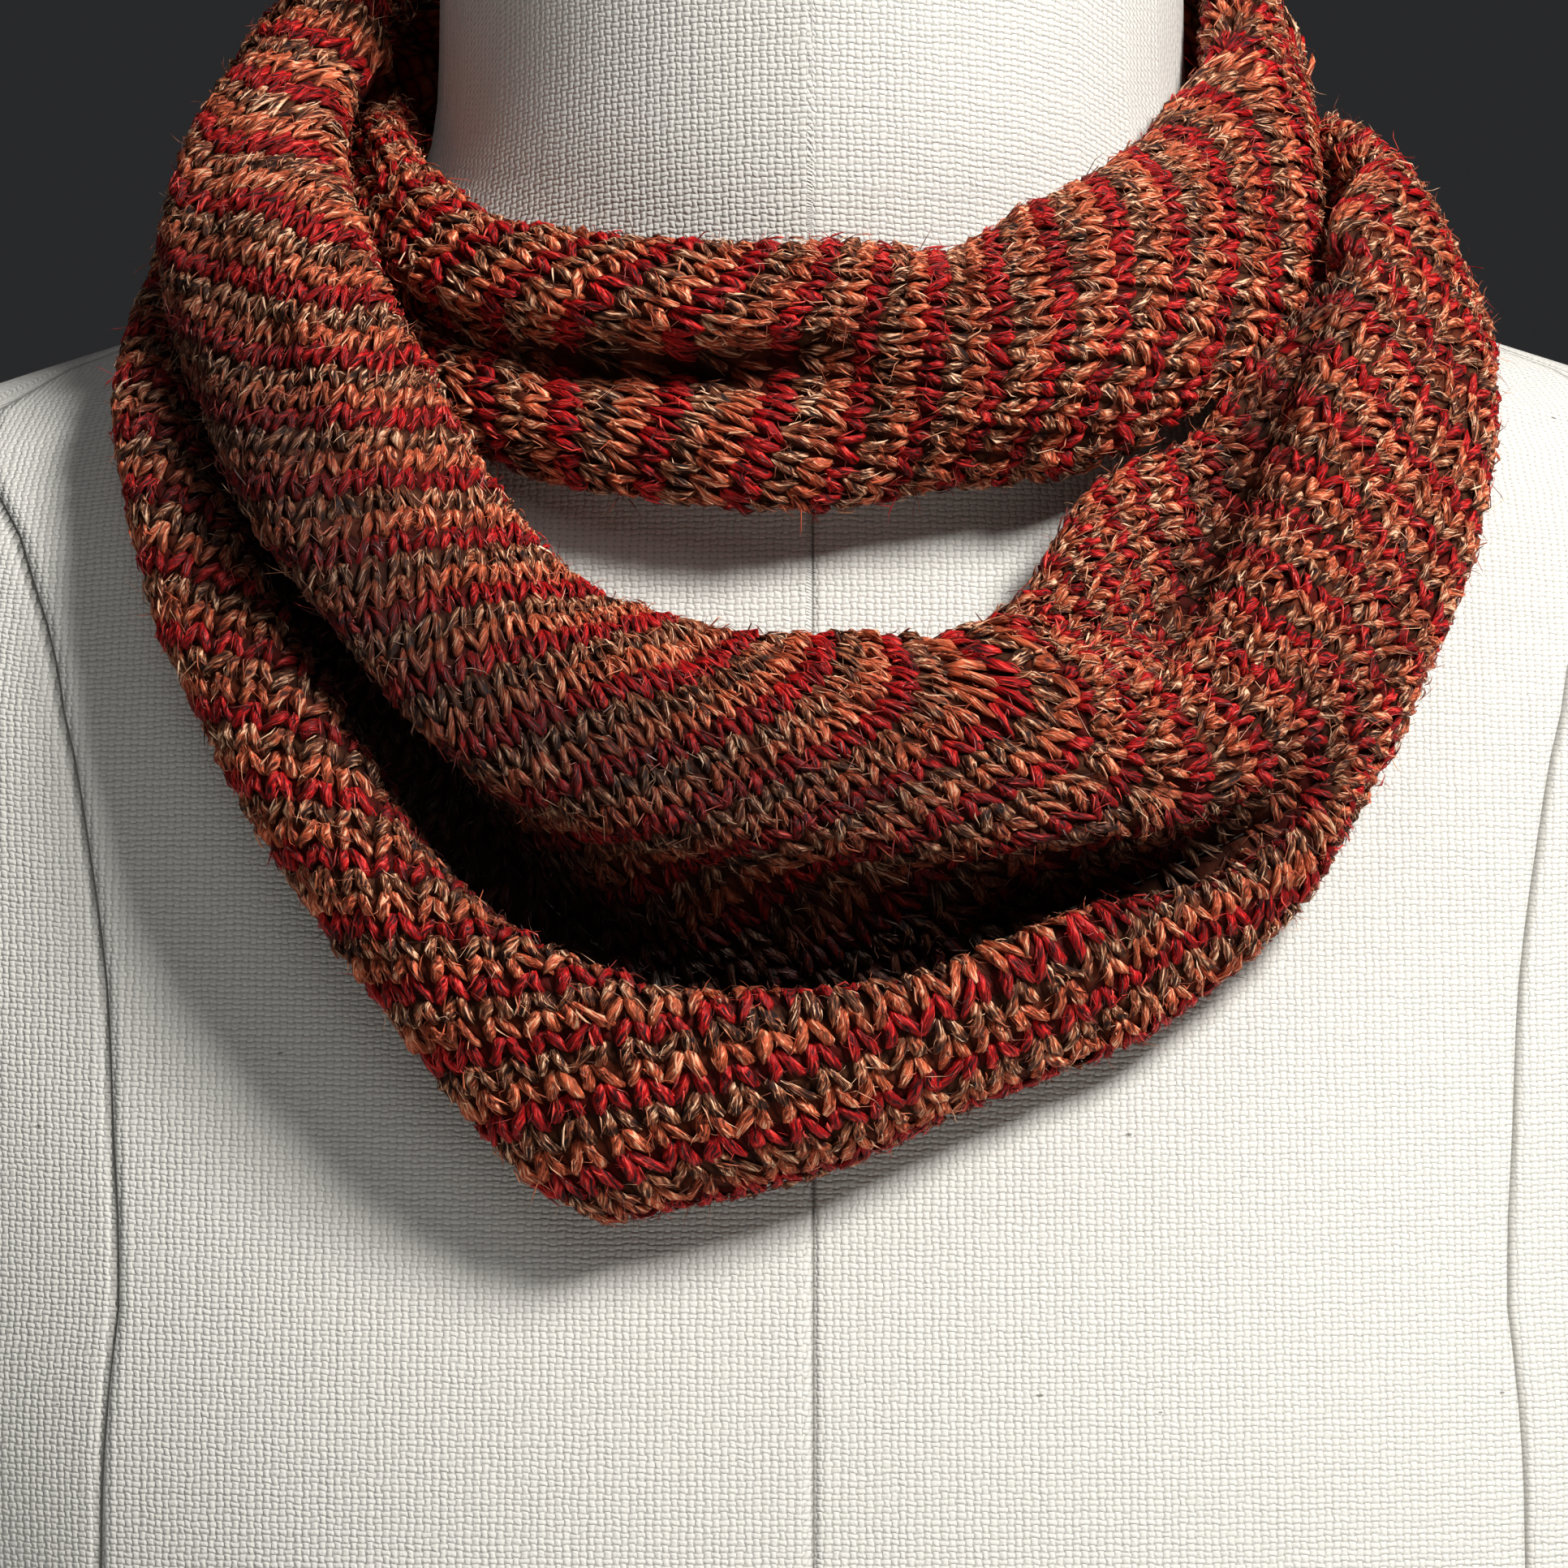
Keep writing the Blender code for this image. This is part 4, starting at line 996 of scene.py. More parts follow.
def lattice(sheet):
    """Where whole stitches of whole rows fall: the triangle's corners, its shares there, and the row."""
    corners = triangles(sheet)
    x = sheet.stitches.ravel()[corners] + STITCH_NUDGE
    y = sheet.rows.ravel()[corners] + ROW_NUDGE
    found = []
    reach_x = int(np.ceil((x.max(axis=1) - x.min(axis=1)).max())) + 1
    reach_y = int(np.ceil((y.max(axis=1) - y.min(axis=1)).max())) + 1
    area = (x[:, 1] - x[:, 0]) * (y[:, 2] - y[:, 0]) - (x[:, 2] - x[:, 0]) * (y[:, 1] - y[:, 0])
    area = np.where(np.abs(area) < LEAST, LEAST, area)
    for i in range(reach_x):
        for j in range(reach_y):
            stitch = np.ceil(x.min(axis=1)) + i
            row = np.ceil(y.min(axis=1)) + j
            second = ((stitch - x[:, 0]) * (y[:, 2] - y[:, 0]) - (x[:, 2] - x[:, 0]) * (row - y[:, 0])) / area
            third = ((x[:, 1] - x[:, 0]) * (row - y[:, 0]) - (stitch - x[:, 0]) * (y[:, 1] - y[:, 0])) / area
            inside = (second >= 0.0) & (third >= 0.0) & (second + third <= 1.0)
            pick = np.nonzero(inside)[0]
            share = np.stack((1.0 - second[pick] - third[pick], second[pick], third[pick]), axis=1)
            found.append((corners[pick], share, row[pick]))
    return tuple(np.concatenate(parts) for parts in zip(*found))


def at_lattice(values, corners, share):
    """A sheet's values at the stitches."""
    flat = values.reshape(values.shape[0] * values.shape[1], -1)
    return (flat[corners] * share[:, :, None]).sum(axis=1)


def row_slope(sheet):
    """At each place, the way in the cloth that the row number grows, as long as one row is high."""
    hour_hour = (sheet.by_hour ** 2).sum(axis=2)
    place_place = (sheet.by_place ** 2).sum(axis=2)
    both = (sheet.by_hour * sheet.by_place).sum(axis=2)
    by_hour = np.gradient(sheet.rows, axis=0)
    by_place = np.gradient(sheet.rows, axis=1)
    spread = np.maximum(hour_hour * place_place - both ** 2, 1e-6)
    first = (place_place * by_hour - both * by_place) / spread
    second = (hour_hour * by_place - both * by_hour) / spread
    slope = sheet.by_hour * first[..., None] + sheet.by_place * second[..., None]
    return slope / np.maximum((slope ** 2).sum(axis=2, keepdims=True), 1e-6)


def row_chains(sheet):
    """Lines of equal row number through the mesh, at each quarter of a row: (quarter, mesh edges, shares)."""
    rows = QUARTERS * sheet.rows.ravel() + ROW_NUDGE
    links = {}
    for corners in triangles(sheet).tolist():
        heights = [rows[corner] for corner in corners]
        for whole in range(math.ceil(min(heights)), math.floor(max(heights)) + 1):
            crossed = []
            for i in range(3):
                near, far = sorted((corners[i], corners[(i + 1) % 3]))
                if (rows[near] - whole) * (rows[far] - whole) < 0.0:
                    crossed.append((whole, near, far))
            if len(crossed) == 2:
                links.setdefault(crossed[0], []).append(crossed[1])
                links.setdefault(crossed[1], []).append(crossed[0])
    chains = []
    used = set()
    for edge in sorted(links, key=lambda key: (len(links[key]), key)):
        if edge in used:
            continue
        chain = []
        while edge is not None:
            used.add(edge)
            chain.append(edge)
            edge = next((after for after in links[edge] if after not in used), None)
        edges = np.array([step[1:] for step in chain])
        share = (chain[0][0] - rows[edges[:, 0]]) / (rows[edges[:, 1]] - rows[edges[:, 0]])
        chains.append((chain[0][0], edges, share[:, None]))
    return chains


def along_rows(sheet):
    """Stitches set side by side along every row, where the cloth is too far askew for whole columns."""
    slope = row_slope(sheet).reshape(-1, 3)
    position = sheet.position.reshape(-1, 3)
    normal = sheet.normal.reshape(-1, 3)
    stitch = sheet.stitches.ravel()
    painted_shades = sheet.hollow.ravel()
    hours = np.repeat(sheet.hours, sheet.places.shape[1])
    found = []
    for quarter, edges, share in row_chains(sheet):
        near, far = edges[:, 0], edges[:, 1]
        ends = stitch[near[[0, -1]]]
        if ends[1] < ends[0]:
            near, far, share = near[::-1], far[::-1], share[::-1]
        spots = position[near] * (1.0 - share) + position[far] * share
        run = np.concatenate(((0.0,), np.cumsum(np.linalg.norm(np.diff(spots, axis=0), axis=1))))
        count = int(round(run[-1] / STITCH_WIDTH))
        if count < 1 or len(run) < 3:
            continue
        step = run[-1] / count
        marks = (np.arange(count) + 0.5) * step
        outward = normal[near] * (1.0 - share) + normal[far] * share
        growth = slope[near] * (1.0 - share) + slope[far] * share

        def read(values, at):
            return np.stack([np.interp(at, run, values[:, i]) for i in range(3)], axis=1)

        centre = read(spots, marks)
        up = unit(read(outward, marks))
        across = unit(read(spots, marks + 0.4 * step) - read(spots, marks - 0.4 * step)) * step
        across -= up * (across * up).sum(axis=1, keepdims=True)
        rise = read(growth, marks)
        square = unit(np.cross(up, across))
        square *= np.sign((square * rise).sum(axis=1, keepdims=True) + LEAST)
        height = np.linalg.norm(rise, axis=1, keepdims=True)
        rows_here = np.clip(np.round(height / (CROWDED_ROW * ROW_HEIGHT)), 1.0, QUARTERS)
        rows_here[rows_here == 3.0] = QUARTERS
        keep = (quarter % (QUARTERS / rows_here) == 0.0)[:, 0]
        height = np.clip(height / rows_here, PULLED_ROW[0] * ROW_HEIGHT, PULLED_ROW[1] * ROW_HEIGHT)
        row = np.full(count, float(round(quarter / QUARTERS)))
        hollow = np.interp(marks, run, painted_shades[near])
        hour = np.interp(marks, run, hours[near])
        found.append(tuple(part[keep] for part in (centre, up, across, square * height, row, hollow, hour)))
    return tuple(np.concatenate(parts) for parts in zip(*found))


def whole_columns(sheet):
    """Stitches where whole rows and whole columns cross, as in knitting that hangs straight."""
    corners, share, row = lattice(sheet)
    one_stitch, one_row = sheet.knit_directions()
    centre = at_lattice(sheet.position, corners, share)
    outward = unit(at_lattice(sheet.normal, corners, share))
    across = at_lattice(one_stitch, corners, share)
    along = at_lattice(one_row, corners, share)
    across -= outward * (across * outward).sum(axis=1, keepdims=True)
    along -= outward * (along * outward).sum(axis=1, keepdims=True)
    across = limit(across, PULLED_ACROSS[0] * STITCH_WIDTH, PULLED_ACROSS[1] * STITCH_WIDTH)
    along = limit(along, PULLED_ALONG[0] * ROW_HEIGHT, PULLED_ALONG[1] * ROW_HEIGHT)
    across, along = loosen_shear(across, along)
    hollow = at_lattice(sheet.hollow, corners, share)[:, 0]
    hour = at_lattice(np.broadcast_to(sheet.hours[:, None], sheet.places.shape), corners, share)[:, 0]
    return centre, outward, across, along, row, hollow, hour


def lay_stitches(stretch, seed):
    """The stitches of one stretch: centre, directions, colour, painted shade, and a chance number for each.
    """
    sheet = stretch_sheet(stretch, FINE_STEP, 0.0)
    parts = []
    if stretch.start < stretch.pulled_from:
        laid = whole_columns(sheet)
        parts.append(tuple(part[laid[-1] < stretch.pulled_from] for part in laid))
    if stretch.end > stretch.pulled_from:
        laid = along_rows(sheet)
        parts.append(tuple(part[laid[-1] >= stretch.pulled_from] for part in laid))
    centre, outward, across, along, row, hollow, _ = (np.concatenate(same) for same in zip(*parts))
    turned = (np.cross(across, along) * outward).sum(axis=1) < 0.0
    across[turned] *= -1.0
    dice = np.random.default_rng(seed)
    count = len(centre)
    lean = dice.normal(0.0, LEAN_SPREAD, (count, 1))
    swell = dice.normal(1.0, SIZE_SPREAD, (count, 1))
    lift = dice.normal(0.0, LIFT_SPREAD, (count, 1))
    return {
        "centre": centre + outward * lift + across * dice.normal(0.0, SHIFT_SPREAD, (count, 1)),
        "across": across * swell / STITCH_WIDTH,
        "along": (along + across * lean) * dice.normal(1.0, SIZE_SPREAD, (count, 1)) / ROW_HEIGHT,
        "outward": outward * dice.normal(1.0, DEPTH_SPREAD, (count, 1)),
        "colour_step": np.mod(row, float(COLOURS)),
        "hollow": hollow,
        "chance": dice.random(count),
    }


def limit(vectors, shortest, longest):
    """Vectors kept between two lengths."""
    size = np.maximum(np.linalg.norm(vectors, axis=1, keepdims=True), 1e-6)
    return vectors * (np.clip(size, shortest, longest) / size)


def loosen_shear(across, along):
    """Turns the two directions of each stitch towards square where the cloth is dragged askew."""
    a = unit(across)
    b = unit(along)
    slant = (a * b).sum(axis=1, keepdims=True)
    held = np.clip(slant, -SLANT_LIMIT, SLANT_LIMIT)
    square = unit(a - b * slant)
    new_a = square * np.sqrt(1.0 - held ** 2) + b * held
    return new_a * np.linalg.norm(across, axis=1, keepdims=True), along


# ---------------------------------------------------------------- templates and Geometry Nodes

def tube_template(name, paths, sides, flatten):
    """Closed tubes along paths of (place, radius) in millimetres, each drawn to a point at both ends."""
    work = bmesh.new()
    layer = work.loops.layers.uv.new("yarn")
    for path in paths:
        places = [Vector(spot) for spot, _ in path]
        rings = []
        run = 0.0
        lengths = []
        for i, (spot, radius) in enumerate(path):
            spot = Vector(spot)
            if i:
                run += (spot - places[i - 1]).length
            lengths.append(run)
            heading = (places[min(i + 1, len(path) - 1)] - places[max(i - 1, 0)]).normalized()
            side = heading.cross(Vector((0.0, 0.0, 1.0))).normalized()
            top = side.cross(heading)
            if radius <= 0.0:
                rings.append([work.verts.new(spot)])
                continue
            ring = []
            for k in range(sides):
                angle = 2.0 * math.pi * (k + 0.5) / sides - math.pi / 2.0
                ring.append(work.verts.new(
                    spot + side * (math.cos(angle) * radius) + top * (math.sin(angle) * radius * flatten)
                ))
            rings.append(ring)
        for i in range(len(rings) - 1):
            near = rings[i]
            far = rings[i + 1]
            for k in range(sides):
                after = (k + 1) % sides
                corners = [near[k % len(near)], far[k % len(far)]]
                corners += [far[after % len(far)], near[after % len(near)]]
                marks = [(k, i), (k, i + 1), (k + 1, i + 1), (k + 1, i)]
                kept = []
                spots = []
                for corner, mark in zip(corners, marks):
                    if corner not in kept:
                        kept.append(corner)
                        spots.append(mark)
                face = work.faces.new(kept)
                face.smooth = True
                for loop, (turn, ring_index) in zip(face.loops, spots):
                    loop[layer].uv = (turn / sides, lengths[ring_index] / STITCH_WIDTH)
    bmesh.ops.recalc_face_normals(work, faces=work.faces)
    mesh = bpy.data.meshes.new(name)
    work.to_mesh(mesh)
    work.free()
    return new_object(name, mesh)


def stitch_template(radius):
    """Both legs of one knitted stitch, in millimetres round its middle."""
    legs = []
    for hand in (-1.0, 1.0):
        legs.append((
            ((hand * 0.40, -2.65, -1.9), 0.0),
            ((hand * 0.56, -1.60, -0.80), radius * 0.92),
            ((hand * 1.05, 0.00, -0.34), radius * 1.10),
            ((hand * 1.62, 1.45, -0.70), radius * 0.94),
            ((hand * 1.95, 2.45, -1.9), 0.0),
        ))
    return tube_template("stitch_pattern", legs, 5, 0.86)


def spread_tree():
    """Geometry Nodes: sets one pattern on every point and stretches it to the cloth there."""
    tree = bpy.data.node_groups.new("set_on_cloth", "GeometryNodeTree")
    tree.is_modifier = True
    for name, kind in (
        ("Points", "Geometry"), ("Pattern", "Object"), ("Yarn", "Material"), ("Fullness", "Float"),
        ("Lumps", "Float"),
    ):
        tree.interface.new_socket(name, in_out="INPUT", socket_type="NodeSocket" + kind)
    tree.interface.new_socket("Cloth", in_out="OUTPUT", socket_type="NodeSocketGeometry")
    wires = Wires(tree)
    start = wires.add("NodeGroupInput")
    end = wires.add("NodeGroupOutput")
    pattern = wires.add(
        "GeometryNodeObjectInfo", {"Object": start.outputs["Pattern"]}, transform_space="ORIGINAL")
    scatter = wires.add("GeometryNodeInstanceOnPoints", {
        "Points": start.outputs["Points"], "Instance": pattern.outputs["Geometry"],
    })
    real = wires.add("GeometryNodeRealizeInstances", {"Geometry": scatter.outputs["Instances"]})
    names = {}
    for name in ("centre", "across", "along", "outward", "bend"):
        node = wires.add("GeometryNodeInputNamedAttribute", {"Name": name}, data_type="FLOAT_VECTOR")
        names[name] = node.outputs["Attribute"]
    place = wires.add("GeometryNodeInputPosition")
    local = wires.vector("SUBTRACT", place.outputs["Position"], names["centre"])
    parts = wires.add("ShaderNodeSeparateXYZ", {"Vector": local})
    lengthwise = parts.outputs["Y"]
    full = wires.times(parts.outputs["X"], start.outputs["Fullness"])
    total = wires.vector("ADD", names["centre"], wires.scaled(names["across"], full))
    total = wires.vector("ADD", total, wires.scaled(names["along"], lengthwise))
    total = wires.vector("ADD", total, wires.scaled(names["outward"], parts.outputs["Z"]))
    curve = wires.times(lengthwise, lengthwise)
    total = wires.vector("ADD", total, wires.scaled(names["bend"], curve))
    push = wires.vector("SUBTRACT", wires.noise(total, 0.8 / MM, 1.0)["Color"], (0.5, 0.5, 0.5))
    total = wires.vector("ADD", total, wires.scaled(push, start.outputs["Lumps"]))
    moved = wires.add("GeometryNodeSetPosition", {"Geometry": real.outputs["Geometry"], "Position": total})
    coloured = wires.add("GeometryNodeSetMaterial", {
        "Geometry": moved.outputs["Geometry"], "Material": start.outputs["Yarn"],
    })
    wires.join(coloured.outputs["Geometry"], end.inputs["Cloth"])
    return tree


class Wires:
    """Short ways to add nodes to a tree and join them."""

    def __init__(self, tree):
        self.tree = tree

    def join(self, source, target):
        self.tree.links.new(source, target)

    def add(self, kind, inputs=None, **options):
        node = self.tree.nodes.new(kind)
        for key, value in options.items():
            setattr(node, key, value)
        for key, value in (inputs or {}).items():
            socket = node.inputs[key]
            if isinstance(value, bpy.types.NodeSocket):
                self.join(value, socket)
            else:
                socket.default_value = value
        return node

    def vector(self, operation, first, second):
        return self.add("ShaderNodeVectorMath", {0: first, 1: second}, operation=operation).outputs["Vector"]

    def scaled(self, vector, amount):
        node = self.add("ShaderNodeVectorMath", {0: vector, "Scale": amount}, operation="SCALE")
        return node.outputs["Vector"]

    def math(self, operation, first, second=0.0, clamp=False):
        node = self.add("ShaderNodeMath", {0: first, 1: second}, operation=operation, use_clamp=clamp)
        return node.outputs["Value"]

    def plus(self, first, second, clamp=False):
        return self.math("ADD", first, second, clamp)

    def minus(self, first, second, clamp=False):
        return self.math("SUBTRACT", first, second, clamp)

    def times(self, first, second, clamp=False):
        return self.math("MULTIPLY", first, second, clamp)

    def noise(self, vector, scale, detail, roughness=0.5):
        values = {"Vector": vector, "Scale": scale, "Detail": detail, "Roughness": roughness}
        return self.add("ShaderNodeTexNoise", values).outputs

    def read(self, name):
        return self.add("ShaderNodeAttribute", attribute_name=name).outputs["Fac"]

    def bump(self, height, strength, distance):
        values = {"Height": height, "Strength": strength, "Distance": distance}
        return self.add("ShaderNodeBump", values).outputs["Normal"]

    def group(self, name, inputs):
        return self.add("ShaderNodeGroup", inputs, node_tree=bpy.data.node_groups[name]).outputs

    def finish(self, shader, colour, normal, values):
        """Joins a material's colour and normal to its shader, and sets its plain values."""
        self.join(colour, shader.inputs["Base Color"])
        if normal is not None:
            self.join(normal, shader.inputs["Normal"])
        for key, value in values.items():
            shader.inputs[key].default_value = value

    def mix(self, share, first, second, blend="MIX"):
        node = self.add("ShaderNodeMix", {0: share, 6: first, 7: second}, data_type="RGBA", blend_type=blend)
        return node.outputs[2]

    def ramp(self, value, stops, smooth=True):
        node = self.add("ShaderNodeValToRGB", {"Fac": value})
        node.color_ramp.interpolation = "EASE" if smooth else "LINEAR"
        marks = node.color_ramp.elements
        while len(marks) < len(stops):
            marks.new(0.5)
        for mark, (place, colour) in zip(marks, stops):
            mark.position = place
            mark.color = colour
        return node.outputs["Color"]


def set_pattern(name, layout, pattern, material, fullness):
    """One plain mesh with the pattern set on every point of a layout, made by Geometry Nodes."""
    mesh = bpy.data.meshes.new(name)
    mesh.from_pydata((layout["centre"] * MM).tolist(), [], [])
    nothing = np.zeros_like(layout["centre"])
    values = {key: layout.get(key, nothing) * MM for key in ("centre", "across", "along", "outward", "bend")}
    for key, value in values.items():
        layer = mesh.attributes.new(key, "FLOAT_VECTOR", "POINT")
        layer.data.foreach_set("vector", value.astype(np.float32).ravel())
    for key in ("colour_step", "hollow", "chance"):
        mark_points(mesh, key, layout[key])
    carrier = new_object(name + "_points", mesh)
    tree = bpy.data.node_groups.get("set_on_cloth") or spread_tree()
    sockets = {item.name: item.identifier for item in tree.interface.items_tree if item.in_out == "INPUT"}
    nodes = carrier.modifiers.new("set_on_cloth", "NODES")
    nodes.node_group = tree
    nodes[sockets["Pattern"]] = pattern
    nodes[sockets["Yarn"]] = material
    nodes[sockets["Fullness"]] = float(fullness)
    nodes[sockets["Lumps"]] = LUMP_SIZE * MM
    graph = bpy.context.evaluated_depsgraph_get()
    made = carrier.evaluated_get(graph)
    result = bpy.data.meshes.new_from_object(made, preserve_all_data_layers=True, depsgraph=graph)
    carrier.modifiers.remove(nodes)
    bpy.data.objects.remove(carrier, do_unlink=True)
    for key in values:
        layer = result.attributes.get(key)
        if layer is not None:
            result.attributes.remove(layer)
    if not len(result.polygons):
        raise RuntimeError(name + " came out empty")
    result.name = name
    result.polygons.foreach_set("use_smooth", [True] * len(result.polygons))
    result.update()
    return new_object(name, result)


# ---------------------------------------------------------------- loose fibres

def lay_fibres(stitches, share, longest, seed):
    """Loose fibres that stand on the stitches: some lie along the cloth, some stand off it."""
    dice = np.random.default_rng(seed)
    total = len(stitches["centre"])
    count = int(total * share)
    pick = dice.integers(0, total, count)
    outward = unit(stitches["outward"][pick])
    along = unit(stitches["along"][pick])
    across = unit(stitches["across"][pick])
    root = stitches["centre"][pick] + across * dice.uniform(-2.2, 2.2, (count, 1))
    root = root + along * dice.uniform(-1.5, 1.5, (count, 1)) - outward * 0.55
    turn = dice.uniform(0.0, 2.0 * math.pi, (count, 1))
    flat = across * np.cos(turn) + along * np.sin(turn)
    rise = np.clip(dice.normal(0.55, 0.34, (count, 1)), 0.06, 1.5)
    heading = unit(flat + outward * rise)
    length = np.clip(dice.gamma(3.0, longest / 7.0, (count, 1)), 1.2, longest)
    sideways = unit(np.cross(heading, outward))
    curl = dice.normal(0.0, 0.34, (count, 1)) * length
    droop = dice.uniform(-0.42, 0.02, (count, 1)) * length
    thick = dice.uniform(0.035, 0.075, (count, 1))
    side = unit(np.cross(heading, dice.normal(0.0, 1.0, (count, 3))))
    return {
        "centre": root,
        "along": heading * length,
        "across": side * thick,
        "outward": np.cross(side, heading) * thick,
        "bend": sideways * curl + outward * droop,
        "colour_step": stitches["colour_step"][pick],
        "hollow": stitches["hollow"][pick],
        "chance": dice.random(count),
    }


def lay_strands(stitches, seed):
    """Thicker strands that have come loose from the spin and lie along the legs of the stitches."""
    dice = np.random.default_rng(seed)
    layouts = []
    for hand in (-1.0, -1.0, 1.0, 1.0):
        count = len(stitches["centre"])
        outward = unit(stitches["outward"])
        along = unit(stitches["along"])
        across = stitches["across"]
        lean = hand * math.tan(math.radians(21.0)) + dice.normal(0.0, 0.24, (count, 1))
        heading = unit(along + unit(across) * lean)
        length = np.clip(dice.normal(2.9, 0.8, (count, 1)), 1.3, 4.8)
        root = stitches["centre"] + across * (hand * 0.75 + dice.normal(0.0, 0.50, (count, 1)))
        root = root - along * dice.uniform(0.3, 2.3, (count, 1))
        root = root + outward * dice.uniform(-0.35, 0.12, (count, 1))
        thick = dice.uniform(0.08, 0.17, (count, 1))
        side = unit(np.cross(heading, outward))
        sway = dice.normal(0.0, 0.16, (count, 1)) * length
        layouts.append({
            "centre": root,
            "along": (heading + outward * dice.uniform(0.25, 0.55, (count, 1))) * length,
            "across": side * thick,
            "outward": np.cross(side, heading) * thick,
            "bend": side * sway - outward * dice.uniform(0.30, 0.62, (count, 1)) * length,
            "colour_step": stitches["colour_step"],
            "hollow": stitches["hollow"],
            "chance": dice.random(count),
        })
    return layouts


def together(layouts):
    """Several layouts made one."""
    return {key: np.concatenate([layout[key] for layout in layouts]) for key in layouts[0]}


# ---------------------------------------------------------------- shader node groups

def new_group(name, inputs, outputs):
    """A shader node group with its sockets, ready to be wired."""
    group = bpy.data.node_groups.new(name, "ShaderNodeTree")
    for label, kind, value in inputs:
        socket = group.interface.new_socket(label, in_out="INPUT", socket_type="NodeSocket" + kind)
        if value is not None:
            socket.default_value = value
    for label, kind in outputs:
        group.interface.new_socket(label, in_out="OUTPUT", socket_type="NodeSocket" + kind)
    wires = Wires(group)
    return group, wires, wires.add("NodeGroupInput").outputs, wires.add("NodeGroupOutput").inputs


def strand_group():
    """Short streaks along a yarn, partly differently dyed fibre, partly painted highlight and shade: how
    light each is, and how high it stands.
    """
    group, wires, given, result = new_group(
        "yarn_strands",
        (("Yarn", "Vector", None), ("Chance", "Float", 0.0), ("Strands", "Float", 11.0),
         ("Twist", "Float", 0.30)),
        (("Light", "Float"), ("Height", "Float"), ("Marl", "Float")),
    )
    parts = wires.add("ShaderNodeSeparateXYZ", {"Vector": given["Yarn"]})
    slide = wires.times(parts.outputs["Y"], given["Twist"])
    around = wires.times(wires.plus(parts.outputs["X"], slide), given["Strands"])
    seed = wires.times(given["Chance"], 53.0)

    def streaks(finer, along, detail):
        spot = wires.add("ShaderNodeCombineXYZ", {
            "X": wires.times(around, finer), "Y": wires.times(parts.outputs["Y"], along), "Z": seed})
        return wires.noise(spot.outputs["Vector"], 1.0, detail, 0.6)["Fac"]

    broad = streaks(1.0, 2.7, 1.0)
    fine = streaks(2.4, 5.5, 2.0)
    both = wires.plus(wires.times(broad, 0.62), wires.times(fine, 0.38))
    # painted highlight and painted shade: bright streaks and dark gaps on the strands, read through the
    # colour ramps
    light = wires.times(wires.minus(both, 0.375), 3.6, clamp=True)
    wires.join(light, result["Light"])
    wires.join(both, result["Height"])
    wires.join(streaks(0.12, 2.2, 1.0), result["Marl"])
    return group


def colour_group():
    """The three yarns of the stripes: red, taupe marled with near black and salmon, and salmon."""
    sizes = settings()
    group, wires, given, result = new_group(
        "striped_yarns",
        (("Step", "Float", 0.0), ("Light", "Float", 0.5), ("Marl", "Float", 0.5), ("Chance", "Float", 0.5),
         ("Hollow", "Float", 0.0)),
        (("Color", "Color"),),
    )

    def tones(ramp, colour):
        stops = []
        for place, tone in ramp:
            if isinstance(tone, float):
                tone = tuple(min(1.0, part * tone) for part in colour)
            stops.append((place, tone + (1.0,)))
        return wires.ramp(given["Light"], stops)

    red_tone = tones(RED_RAMP, sizes.red_yarn)
    light_taupe = tones(LIGHT_TAUPE_RAMP, sizes.taupe_yarn)
    dark_taupe = tones(DARK_TAUPE_RAMP, sizes.taupe_yarn)
    mixture = wires.plus(given["Marl"], wires.times(given["Chance"], 0.34))
    dark_strands = wires.times(wires.minus(mixture, 0.66), 7.0, clamp=True)
    salmon_strands = wires.times(wires.minus(0.60, mixture), 6.0, clamp=True)
    taupe_tone = wires.mix(dark_strands, light_taupe, dark_taupe)
    salmon_tone = tones(SALMON_RAMP, sizes.salmon_yarn)
    warm = wires.times(wires.minus(given["Chance"], 0.62), 1.6, clamp=True)
    salmon_tone = wires.mix(warm, salmon_tone, wires.mix(0.55, salmon_tone, WARM_SALMON))
    taupe_tone = wires.mix(wires.times(salmon_strands, 0.7), taupe_tone, salmon_tone)
    past_red = wires.math("GREATER_THAN", given["Step"], 0.5)
    past_taupe = wires.math("GREATER_THAN", given["Step"], 1.5)
    tone = wires.mix(past_taupe, wires.mix(past_red, red_tone, taupe_tone), salmon_tone)
    brighter = wires.plus(wires.times(given["Chance"], 0.34), 0.83)
    grey = wires.add("ShaderNodeCombineColor", {0: brighter, 1: brighter, 2: brighter}).outputs["Color"]
    tone = wires.mix(1.0, tone, grey, "MULTIPLY")
    # painted shade: the colour is darkened towards near black in the deep folds
    wires.join(wires.mix(given["Hollow"], tone, PAINTED_SHADE_DARK), result["Color"])
    return group


